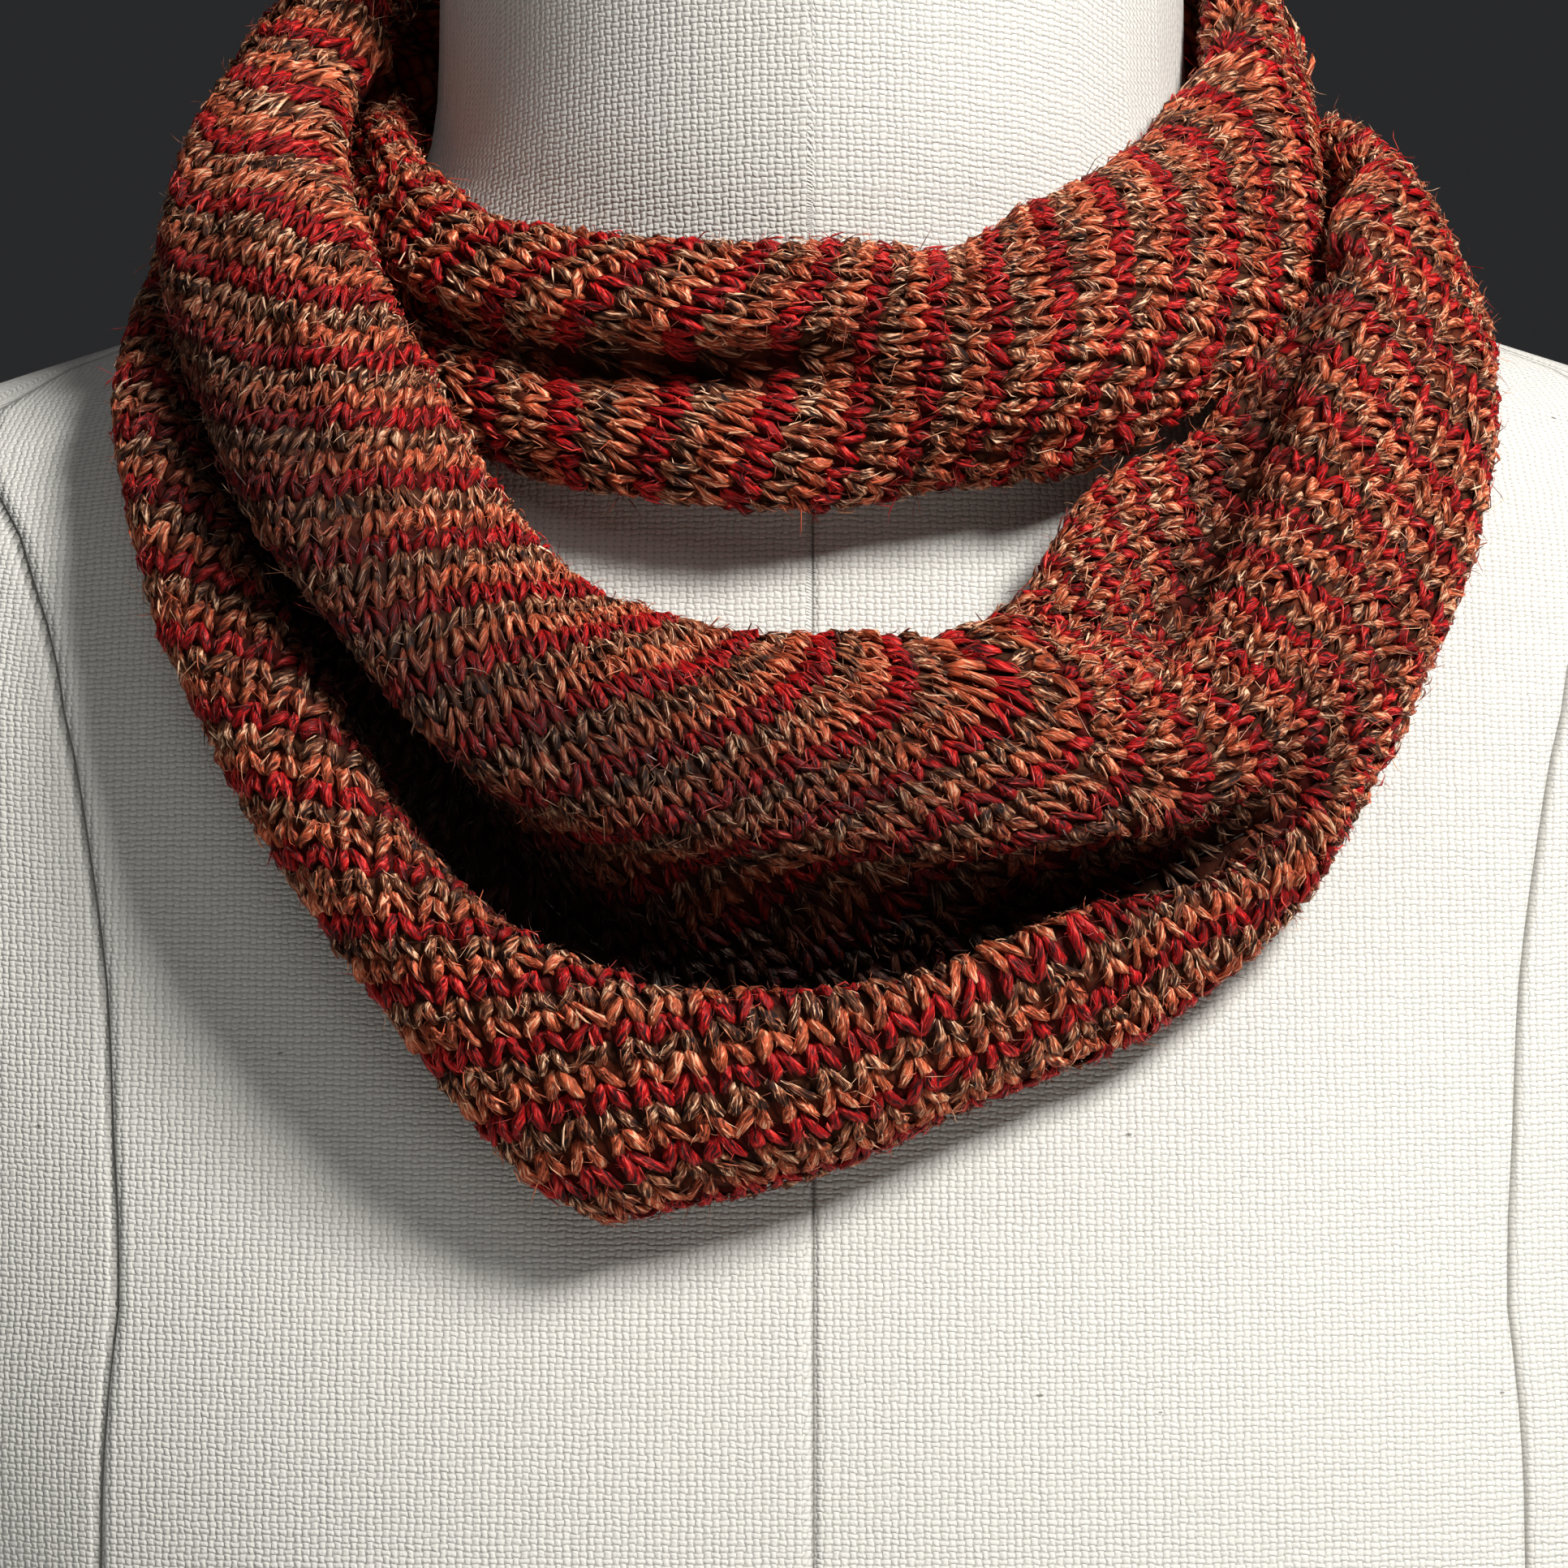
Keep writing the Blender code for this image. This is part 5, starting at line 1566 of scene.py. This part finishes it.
def weave_group():
    """A coarse plain weave: how high the threads stand, the painted shade in the gaps, and the thick spots.
    """
    group, wires, given, result = new_group(
        "plain_weave",
        (("Vector", "Vector", None), ("Thread Width", "Float", 1.2), ("Thread Height", "Float", 0.95)),
        (("Height", "Float"), ("Gap", "Float"), ("Slub", "Float")),
    )
    wander = wires.noise(given["Vector"], 0.35, 2.0)["Color"]
    offset = wires.scaled(wires.vector("SUBTRACT", wander, (0.5, 0.5, 0.5)), 0.9)
    spot = wires.vector("ADD", given["Vector"], offset)
    parts = wires.add("ShaderNodeSeparateXYZ", {"Vector": spot})
    u = wires.math("DIVIDE", parts.outputs["X"], given["Thread Width"])
    v = wires.math("DIVIDE", parts.outputs["Y"], given["Thread Height"])
    half_u = wires.times(u, math.pi)
    half_v = wires.times(v, math.pi)
    warp_high = wires.times(wires.math("SINE", half_u), wires.math("SINE", half_v))
    warp_top = wires.times(warp_high, 1.5)
    warp_top = wires.math("MAXIMUM", wires.math("MINIMUM", warp_top, 1.0), -1.0)
    round_u = wires.math("POWER", wires.math("ABSOLUTE", wires.math("SINE", half_u)), 0.55)
    round_v = wires.math("POWER", wires.math("ABSOLUTE", wires.math("SINE", half_v)), 0.55)
    warp = wires.times(round_u, wires.plus(0.62, wires.times(warp_top, 0.38)))
    weft = wires.times(round_v, wires.minus(0.62, wires.times(warp_top, 0.38)))
    both = wires.math("MAXIMUM", warp, weft)
    thick_u = wires.noise(wires.vector("MULTIPLY", spot, (0.85, 0.07, 0.0)), 1.0, 1.0)["Fac"]
    thick_v = wires.noise(wires.vector("MULTIPLY", spot, (0.06, 1.05, 0.0)), 1.0, 1.0)["Fac"]
    slub = wires.times(wires.plus(thick_u, thick_v), 0.5)
    fuzz = wires.noise(spot, 2.6, 2.0)["Fac"]
    height = wires.plus(wires.times(both, 0.85), wires.times(slub, 0.85))
    height = wires.plus(height, wires.times(fuzz, 0.30))
    gap = wires.times(wires.minus(0.56, both), wires.times(fuzz, 4.5), clamp=True)
    wires.join(height, result["Height"])
    wires.join(gap, result["Gap"])
    wires.join(slub, result["Slub"])
    return group


def new_material(name):
    """An empty Principled material and its wires."""
    material = bpy.data.materials.new(name)
    material.use_nodes = True
    return material, Wires(material.node_tree), material.node_tree.nodes["Principled BSDF"]


def yarn_material():
    """Soft spun yarn with a silky light on its strands."""
    material, wires, shader = new_material("striped_yarn")
    yarn = wires.add("ShaderNodeUVMap", uv_map="yarn").outputs["UV"]
    chance = wires.read("chance")
    strands = wires.group("yarn_strands", {"Yarn": yarn, "Chance": chance})
    colour = wires.group("striped_yarns", {
        "Step": wires.read("colour_step"), "Light": strands["Light"], "Marl": strands["Marl"],
        "Chance": chance, "Hollow": wires.read("hollow")})
    rough = wires.add("ShaderNodeMapRange", {"Value": strands["Light"], "To Min": 0.72, "To Max": 0.42})
    wires.join(rough.outputs["Result"], shader.inputs["Roughness"])
    wires.finish(shader, colour["Color"], wires.bump(strands["Height"], 1.0, 0.00042), {
        "Sheen Weight": 0.04, "Sheen Roughness": 0.45, "Sheen Tint": SHEEN_TINT, "Specular IOR Level": 0.22})
    return material


def fibre_material():
    """Loose fibres in their yarn's colours, painted lighter than that yarn as painted highlights on the fine
    fibres.
    """
    material, wires, shader = new_material("loose_fibre")
    chance = wires.read("chance")
    # painted highlight: the fibres are read high up their yarn's colour ramp
    colour = wires.group("striped_yarns", {
        "Step": wires.read("colour_step"), "Light": wires.plus(wires.times(chance, 0.78), 0.14),
        "Marl": 0.3, "Chance": chance, "Hollow": wires.read("hollow")})
    pale = wires.mix(0.03, colour["Color"], FIBRE_HIGHLIGHT)
    wires.finish(shader, pale, None, {"Roughness": 0.40, "Sheen Weight": 0.05})
    return material


def cloth_material():
    """The knitted ground under the stitches, darkened as painted shade between them, and the smooth back of
    the knitting where it shows; both painted lighter on the bulges of the knit and darker between.
    """
    material, wires, shader = new_material("knitted_ground")
    knit = wires.add("ShaderNodeUVMap", uv_map="knit").outputs["UV"]
    parts = wires.add("ShaderNodeSeparateXYZ", {"Vector": knit})
    sway = wires.math("ABSOLUTE", wires.minus(wires.math("FRACT", parts.outputs["X"]), 0.5))
    row = wires.plus(parts.outputs["Y"], wires.times(sway, 0.9))
    step = wires.math("FLOORED_MODULO", wires.math("ROUND", row), float(COLOURS))
    bulge = wires.math("ABSOLUTE", wires.math("COSINE", wires.times(row, math.pi)))
    legs = wires.math("ABSOLUTE", wires.math("SINE", wires.times(parts.outputs["X"], 2.0 * math.pi)))
    height = wires.times(wires.math("POWER", bulge, 0.7), wires.math("POWER", legs, 0.5))
    strand = wires.times(wires.noise(wires.vector("MULTIPLY", knit, (9.0, 2.4, 0.0)), 1.0, 3.0)["Fac"], 0.5)
    cell = wires.noise(knit, 0.9, 1.0)["Fac"]
    # painted light: the knit's pattern is painted lighter on its bulges and darker between them
    colour = wires.group("striped_yarns", {
        "Step": wires.math("ROUND", step), "Light": wires.plus(wires.times(height, 0.45), strand),
        "Marl": cell, "Chance": cell, "Hollow": wires.read("hollow")})
    # painted shade: the face under the stitches is darkened most of the way to near black
    deep = wires.mix(0.88, colour["Color"], GROUND_PAINTED_SHADE)
    tone = wires.mix(wires.read("inner_side"), deep, colour["Color"])
    wires.finish(shader, tone, wires.bump(wires.plus(height, strand), 1.0, 0.0006), {
        "Roughness": 0.85, "Specular IOR Level": 0.12})
    return material


def linen_material():
    """Undyed linen in a coarse plain weave, with a few dark specks."""
    sizes = settings()
    material, wires, shader = new_material("natural_linen")
    cloth = wires.add("ShaderNodeUVMap", uv_map="linen").outputs["UV"]
    weave = wires.group("plain_weave", {
        "Vector": cloth, "Thread Width": sizes.thread_width / MM, "Thread Height": sizes.thread_height / MM})
    linen = tuple(sizes.linen) + (1.0,)
    shade = tuple(part * LINEN_GAP_SHARE for part in sizes.linen) + (1.0,)
    # painted shade: the linen is darkened in the gaps between its threads
    tone = wires.mix(weave["Gap"], linen, shade)
    streak = wires.times(wires.minus(weave["Slub"], 0.5), 1.6, clamp=True)
    tone = wires.mix(streak, tone, LINEN_SLUB)
    speck = wires.add("ShaderNodeTexVoronoi", {
        "Vector": wires.vector("MULTIPLY", cloth, (0.055, 0.13, 0.0)), "Scale": 1.0}, feature="F1")
    near = wires.math("LESS_THAN", speck.outputs["Distance"], 0.034)
    chance = wires.add("ShaderNodeSeparateXYZ", {"Vector": speck.outputs["Color"]}).outputs["X"]
    some = wires.math("GREATER_THAN", chance, 0.62)
    tone = wires.mix(wires.times(wires.times(near, some), 0.75), tone, LINEN_SPECK)
    tone = wires.mix(wires.times(wires.read("seam"), 0.86), tone, LINEN_SEAM)
    tone = wires.mix(wires.times(wires.noise(cloth, 0.02, 2.0)["Fac"], 0.22), tone, LINEN_STAIN)
    wires.finish(shader, tone, wires.bump(weave["Height"], 0.85, 0.00034), {
        "Roughness": 0.88, "Specular IOR Level": 0.25, "Sheen Weight": 0.10})
    return material


# ---------------------------------------------------------------- the dress form

def seam_hour(table, height):
    """Where a seam stands at one height."""
    return float(np.interp(height, [row[0] for row in table], [row[1] for row in table]))


def form_columns(height):
    """Hour angles of the form's columns at one height, with how deep each sits in a seam."""
    front = seam_hour(PRINCESS_SEAM, height)
    side = seam_hour(SIDE_SEAM, height)
    back = seam_hour(BACK_SEAM, height)
    seams = [0.0, front, max(side, front + SEAM_GAPS[0]), max(back, side + SEAM_GAPS[1]), 180.0]
    seams += [360.0 - hour for hour in reversed(seams[1:-1])]
    cells = [max(3, round(gap / COLUMN_STEP)) for gap in PANEL_WIDTHS]
    cells = cells + cells[::-1]
    hours = []
    sunk = []
    lip = math.degrees(SEAM_HALF_WIDTH / SEAM_REACH)
    for seam, after, count in zip(seams, seams[1:] + [360.0], cells):
        hours.extend((seam - 3.0 * lip, seam - lip, seam, seam + lip, seam + 3.0 * lip))
        sunk.extend((0.0, 0.0, 1.0, 0.0, 0.0))
        for i in range(1, count):
            hours.append(seam + (after - seam) * i / count)
            sunk.append(0.0)
    return hours, sunk


def form_place(sizes, hour, draw_in):
    """One place on the form's outline at an hour angle."""
    half_width = sizes["half_width"] - draw_in
    turn = math.radians((hour + 180.0) % 360.0 - 180.0)
    depth = (sizes["front"] if math.cos(turn) > 0.0 else sizes["back"]) - draw_in
    power = sizes["square"]
    sideways = abs(math.sin(turn)) / half_width
    forwards = abs(math.cos(turn)) / depth
    reach = (sideways ** power + forwards ** power) ** (-1.0 / power)
    return reach * math.sin(turn), -reach * math.cos(turn)


def form_mesh():
    """The linen form with its seams sewn in: closed, flat underneath and capped at the top of the neck."""
    sizes = settings()
    table = np.array([row for row in FORM_LEVELS], float)
    low = table[0, 0]
    high = table[-1, 0]
    heights = [low + rise for rise, _draw in UNDER_EDGE] + [low + 9.0]
    count = int((high - 4.0 - heights[-1]) / RING_STEP)
    heights += list(np.linspace(heights[-1], NECK_SEAM_HEIGHT - 1.0, int(count * (1.0 - NECK_SHARE))))[1:]
    heights += [NECK_SEAM_HEIGHT - 0.5, NECK_SEAM_HEIGHT, NECK_SEAM_HEIGHT + 0.5]
    heights += list(np.linspace(NECK_SEAM_HEIGHT + 1.5, high - 3.0, int(count * NECK_SHARE)))
    heights += [high - fall for fall, _draw in TOP_EDGE]
    values = read_table(table[:, 0], table[:, 1:], heights)
    drawn_in = np.zeros(len(heights))
    drawn_in[:len(UNDER_EDGE)] = [draw for _rise, draw in UNDER_EDGE]
    drawn_in[-len(TOP_EDGE):] = [draw for _fall, draw in TOP_EDGE]
    groove = sizes.seam_depth / MM
    rings = []
    marks = []
    for level, height in enumerate(heights):
        outline = dict(zip(FORM_COLUMNS[1:], values[level]))
        hours, sunk = form_columns(height)
        above = height > NECK_SEAM_HEIGHT + 0.2
        on_neck_seam = abs(height - NECK_SEAM_HEIGHT) < 0.2
        ring = []
        depths = []
        for hour, deep in zip(hours, sunk):
            share = 1.0 if on_neck_seam else (0.0 if above else deep)
            x, y = form_place(outline, hour, drawn_in[level] + groove * share)
            ring.append((x, AXIS_Y + y, CHEST_LEVEL + height))
            depths.append(share)
        rings.append(ring)
        marks.append(depths)
    places = np.array(rings)
    lines, columns = places.shape[:2]
    vertices = places.reshape(-1, 3)
    faces = []
    for i in range(lines - 1):
        for j in range(columns):
            k = (j + 1) % columns
            faces.append((i * columns + j, i * columns + k, (i + 1) * columns + k, (i + 1) * columns + j))
    sides = len(faces)
    middle_low = len(vertices)
    middles = [(0.0, AXIS_Y, CHEST_LEVEL + low), (0.0, AXIS_Y, CHEST_LEVEL + high)]
    vertices = np.concatenate((vertices, middles))
    last = (lines - 1) * columns
    for j in range(columns):
        k = (j + 1) % columns
        faces.append((middle_low, k, j))
        faces.append((middle_low + 1, last + j, last + k))
    mesh = mesh_from_arrays("dress_form_linen", vertices, faces)
    linen_map(mesh, places, sides)
    mark_points(mesh, "seam", np.append(np.array(marks).ravel(), (0.0, 0.0)))
    return mesh


def linen_map(mesh, places, sides):
    """Lays the weave on the form in millimetres, each panel from its own middle, and level at the chest."""
    lines, columns = places.shape[:2]
    around = np.linalg.norm(np.roll(places, -1, axis=1) - places, axis=2)
    travelled = np.concatenate((np.zeros((lines, 1)), np.cumsum(around, axis=1)), axis=1)
    up = np.linalg.norm(np.diff(places, axis=0), axis=2)
    risen = np.concatenate((np.zeros((1, columns)), np.cumsum(up, axis=0)))
    level = int(np.argmin(np.abs(places[:, 0, 2] - (CHEST_LEVEL + LINEN_LEVEL))))
    risen = risen - risen[level]
    _hours, sunk = form_columns(0.0)
    seams = [j for j in range(columns) if sunk[j] > 0.5] + [columns]
    corners = corner_vertices(mesh)
    marks = np.zeros((len(corners), 2), dtype=np.float32)
    panel = np.zeros(columns, dtype=int)
    for number, (start, end) in enumerate(zip(seams, seams[1:])):
        panel[start:end] = number
    panel[:seams[0]] = len(seams) - 2
    panel[seams[-2]:] = len(seams) - 2
    quads = corners[:sides * 4].reshape(-1, 4)
    for number, quad in enumerate(quads):
        column = number % columns
        belongs = panel[column]
        start = seams[belongs]
        end = seams[belongs + 1]
        for corner, place in enumerate(quad):
            line, here = divmod(int(place), columns)
            reach = here + columns if here < column else here
            run = travelled[line, min(reach, columns)] if reach <= columns else travelled[line, columns]
            if belongs in (0, len(seams) - 2):
                middle = 0.0 if belongs == 0 else travelled[line, columns]
            else:
                middle = 0.5 * (travelled[line, start] + travelled[line, min(end, columns)])
            marks[number * 4 + corner] = (run - middle, risen[line, here])
    caps = corners[sides * 4:]
    spots = np.empty((len(mesh.vertices), 3), dtype=np.float32)
    mesh.vertices.foreach_get("co", spots.ravel())
    marks[sides * 4:] = spots[caps][:, :2] / MM
    layer = mesh.uv_layers.new(name="linen")
    layer.data.foreach_set("uv", marks.ravel())


# ---------------------------------------------------------------- sizes and colours in the sidebar

class NeckWarmerSizes(bpy.types.PropertyGroup):
    """Sizes and colours of the neck warmer, the form and the stage."""

    yarn_radius: FloatProperty(
        name="Yarn radius", description="Half the width of the yarn in a stitch",
        default=0.74 * MM, min=0.2 * MM, max=3.0 * MM, unit="LENGTH", precision=5)
    fullness: FloatProperty(
        name="Fullness", description="How far the legs of each stitch spread sideways",
        default=1.0, min=0.6, max=1.4, subtype="FACTOR")
    fibre_length: FloatProperty(
        name="Longest fibre", description="Length of the longest loose fibres",
        default=6.5 * MM, min=1.0 * MM, max=12.0 * MM, unit="LENGTH", precision=4)
    fibre_share: FloatProperty(
        name="Fibres for each stitch", description="How many loose fibres stand on each stitch",
        default=3.2, min=0.0, max=6.0)
    seed: IntProperty(name="Seed", description="Start of the random numbers", default=7, min=0)
    red_yarn: FloatVectorProperty(
        name="Red yarn", description="Colour of the first row of each three",
        default=(0.42, 0.0015, 0.004), subtype="COLOR", min=0.0, max=1.0)
    taupe_yarn: FloatVectorProperty(
        name="Taupe yarn", description="Colour of the second row of each three",
        default=(0.38, 0.135, 0.058), subtype="COLOR", min=0.0, max=1.0)
    salmon_yarn: FloatVectorProperty(
        name="Salmon yarn", description="Colour of the third row of each three",
        default=(0.68, 0.120, 0.044), subtype="COLOR", min=0.0, max=1.0)
    linen: FloatVectorProperty(
        name="Linen", description="Colour of the form's linen",
        default=(0.79, 0.775, 0.725), subtype="COLOR", min=0.0, max=1.0)
    thread_width: FloatProperty(
        name="Warp spacing", description="Distance between the linen's upright threads",
        default=1.2 * MM, min=0.3 * MM, max=3.0 * MM, unit="LENGTH", precision=5)
    thread_height: FloatProperty(
        name="Weft spacing", description="Distance between the linen's level threads",
        default=0.95 * MM, min=0.3 * MM, max=3.0 * MM, unit="LENGTH", precision=5)
    seam_depth: FloatProperty(
        name="Seam depth", description="How deep the form's seams are drawn in",
        default=0.6 * MM, min=0.0, max=2.0 * MM, unit="LENGTH", precision=5)
    floor_reach: FloatProperty(
        name="Floor", description="Half the width of the floor", default=2.6, min=0.5, max=6.0, unit="LENGTH")
    floor_colour: FloatVectorProperty(
        name="Floor colour", description="Colour of the floor",
        default=(0.70, 0.70, 0.69), subtype="COLOR", min=0.0, max=1.0)
    key_power: FloatProperty(
        name="Key light", description="Power of the main light in watts", default=38.0, min=0.0)
    fill_power: FloatProperty(
        name="Fill light", description="Power of the weak high light from the left in watts",
        default=2.8, min=0.0)
    room_light: FloatProperty(
        name="Room light", description="Strength of the plain light all round", default=0.16, min=0.0)


# ---------------------------------------------------------------- operators

class NECKWARMER_OT_materials(bpy.types.Operator):
    """Make the yarn, fibre, cloth and linen materials"""

    bl_idname = "neckwarmer.materials"
    bl_label = "Mix the yarns and the linen"

    def execute(self, context):
        strand_group()
        colour_group()
        weave_group()
        yarn_material()
        fibre_material()
        cloth_material()
        linen_material()
        return {"FINISHED"}


class NECKWARMER_OT_dress_form(bpy.types.Operator):
    """Sew the linen form with its grooved seams"""

    bl_idname = "neckwarmer.dress_form"
    bl_label = "Sew the dress form"

    def execute(self, context):
        form = new_object("dress_form_linen", form_mesh())
        form.data.materials.append(bpy.data.materials["natural_linen"])
        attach(form, "root")
        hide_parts("dress_form")
        return {"FINISHED"}


class NECKWARMER_OT_cloth(bpy.types.Operator):
    """Lay the six stretches of cloth round the neck"""

    bl_idname = "neckwarmer.cloth"
    bl_label = "Lay the cloth"

    def execute(self, context):
        for stretch in STRETCHES:
            name = stretch.name + "_cloth"
            shell = new_object(name, shell_mesh(name, stretch_sheet(stretch, SHELL_STEP, SEAM_GAP)))
            shell.data.materials.append(bpy.data.materials["knitted_ground"])
            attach(shell, "root")
            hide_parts(stretch.name)
        return {"FINISHED"}


class NECKWARMER_OT_stitches(bpy.types.Operator):
    """Knit every stitch of the stripes, with its loose fibres"""

    bl_idname = "neckwarmer.stitches"
    bl_label = "Knit the stitches"

    def execute(self, context):
        sizes = settings()
        pattern = stitch_template(sizes.yarn_radius / MM)
        fibre = tube_template("fibre_pattern", (FIBRE_PATH,), 3, 1.0)
        yarn = bpy.data.materials["striped_yarn"]
        loose = bpy.data.materials["loose_fibre"]
        for number, stretch in enumerate(STRETCHES):
            seed = sizes.seed + 10 * number
            layout = lay_stitches(stretch, seed)
            knitted = set_pattern(stretch.name + "_stitches", layout, pattern, yarn, sizes.fullness)
            hairs = lay_fibres(layout, sizes.fibre_share, sizes.fibre_length / MM, seed + 1)
            hairs = together([hairs] + lay_strands(layout, seed + 2))
            fuzz = set_pattern(stretch.name + "_fibres", hairs, fibre, loose, 1.0)
            for piece in (knitted, fuzz):
                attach(piece, "root")
            declare_cut(stretch)
        for item in (pattern, fibre):
            bpy.data.objects.remove(item, do_unlink=True)
        return {"FINISHED"}


def declare_cut(stretch):
    """Lays a coarse mesh of places on the stretch, and does nothing more with it."""
    sheet = stretch_sheet(stretch, SHELL_STEP * 2.0, 0.0)


class NECKWARMER_OT_stage(bpy.types.Operator):
    """Set the pale floor, the soft light and the camera"""

    bl_idname = "neckwarmer.stage"
    bl_label = "Set the stage"

    def execute(self, context):
        sizes = settings()
        set_floor(sizes)
        aim = Vector((0.0, 0.0, CHEST_LEVEL * MM))
        set_light("key_light", KEY_PLACE, aim, KEY_SIZE, sizes.key_power, KEY_COLOUR)
        set_light("fill_light", FILL_PLACE, aim, FILL_SIZE, sizes.fill_power, FILL_COLOUR)
        room = bpy.data.worlds.new("plain_room")
        room.use_nodes = True
        background = room.node_tree.nodes["Background"]
        background.inputs["Color"].default_value = ROOM_COLOUR
        background.inputs["Strength"].default_value = sizes.room_light
        context.scene.world = room
        context.scene.view_settings.view_transform = "Standard"
        set_camera(context)
        return {"FINISHED"}


def set_floor(sizes):
    """A plain pale floor that the form stands on."""
    reach = sizes.floor_reach / MM
    corners = [(-reach, -reach, 0.0), (reach, -reach, 0.0), (reach, reach, 0.0), (-reach, reach, 0.0)]
    floor = new_object("floor", mesh_from_arrays("floor", corners, [(0, 1, 2, 3)], smooth=False))
    material, wires, shader = new_material("pale_floor")
    spot = wires.add("ShaderNodeTexCoord").outputs["Object"]
    cloud = wires.add("ShaderNodeTexNoise", {"Vector": spot, "Scale": 3.0, "Detail": 3.0}).outputs["Fac"]
    pale = tuple(sizes.floor_colour)
    wires.join(wires.mix(cloud, tuple(part * 0.97 for part in pale) + (1.0,), pale + (1.0,)),
               shader.inputs["Base Color"])
    shader.inputs["Roughness"].default_value = 0.8
    floor.data.materials.append(material)


def set_light(name, place, aim, size, power, colour):
    """A square soft light that points at one place."""
    lamp = bpy.data.lights.new(name, "AREA")
    lamp.shape = "SQUARE"
    lamp.size = size
    lamp.energy = power
    lamp.color = colour
    item = bpy.data.objects.new(name, lamp)
    item.location = place
    item.rotation_euler = (aim - Vector(place)).to_track_quat("-Z", "Y").to_euler()
    bpy.context.scene.collection.objects.link(item)


def set_camera(context):
    """The camera, level with the chest and straight in front."""
    lens = bpy.data.cameras.new("camera")
    lens.sensor_fit = "HORIZONTAL"
    lens.sensor_width = SENSOR
    lens.lens = SENSOR * CAMERA_DISTANCE / FRAME_WIDTH
    lens.clip_start = 0.05
    lens.clip_end = 20.0
    camera = bpy.data.objects.new("camera", lens)
    camera.location = (CAMERA_X * MM, (AXIS_Y - CAMERA_DISTANCE) * MM, CHEST_LEVEL * MM)
    camera.rotation_euler = (math.pi / 2.0, 0.0, 0.0)
    context.scene.collection.objects.link(camera)
    context.scene.camera = camera


class NECKWARMER_PT_panel(bpy.types.Panel):
    """Lists the steps that build the neck warmer, and its sizes and colours"""

    bl_idname = "NECKWARMER_PT_panel"
    bl_label = "Neck warmer"
    bl_space_type = "VIEW_3D"
    bl_region_type = "UI"
    bl_category = "Neck warmer"

    def draw(self, context):
        column = self.layout.column()
        for step in STEPS:
            column.operator(step.bl_idname)
        for name in NeckWarmerSizes.__annotations__:
            column.prop(context.scene.neck_warmer, name)


STEPS = (
    NECKWARMER_OT_materials,
    NECKWARMER_OT_dress_form,
    NECKWARMER_OT_cloth,
    NECKWARMER_OT_stitches,
    NECKWARMER_OT_stage,
)
CLASSES = (NeckWarmerSizes,) + STEPS + (NECKWARMER_PT_panel,)


def register():
    """Adds the classes and the sizes."""
    for item in CLASSES:
        bpy.utils.register_class(item)
    bpy.types.Scene.neck_warmer = PointerProperty(type=NeckWarmerSizes)


def unregister():
    """Takes them away again."""
    del bpy.types.Scene.neck_warmer
    for item in reversed(CLASSES):
        bpy.utils.unregister_class(item)


def main():
    """Builds the whole picture, step by step."""
    register()
    bpy.ops.neckwarmer.materials()
    bpy.ops.neckwarmer.dress_form()
    bpy.ops.neckwarmer.cloth()
    bpy.ops.neckwarmer.stitches()
    bpy.ops.neckwarmer.stage()


if __name__ == "__main__":
    main()
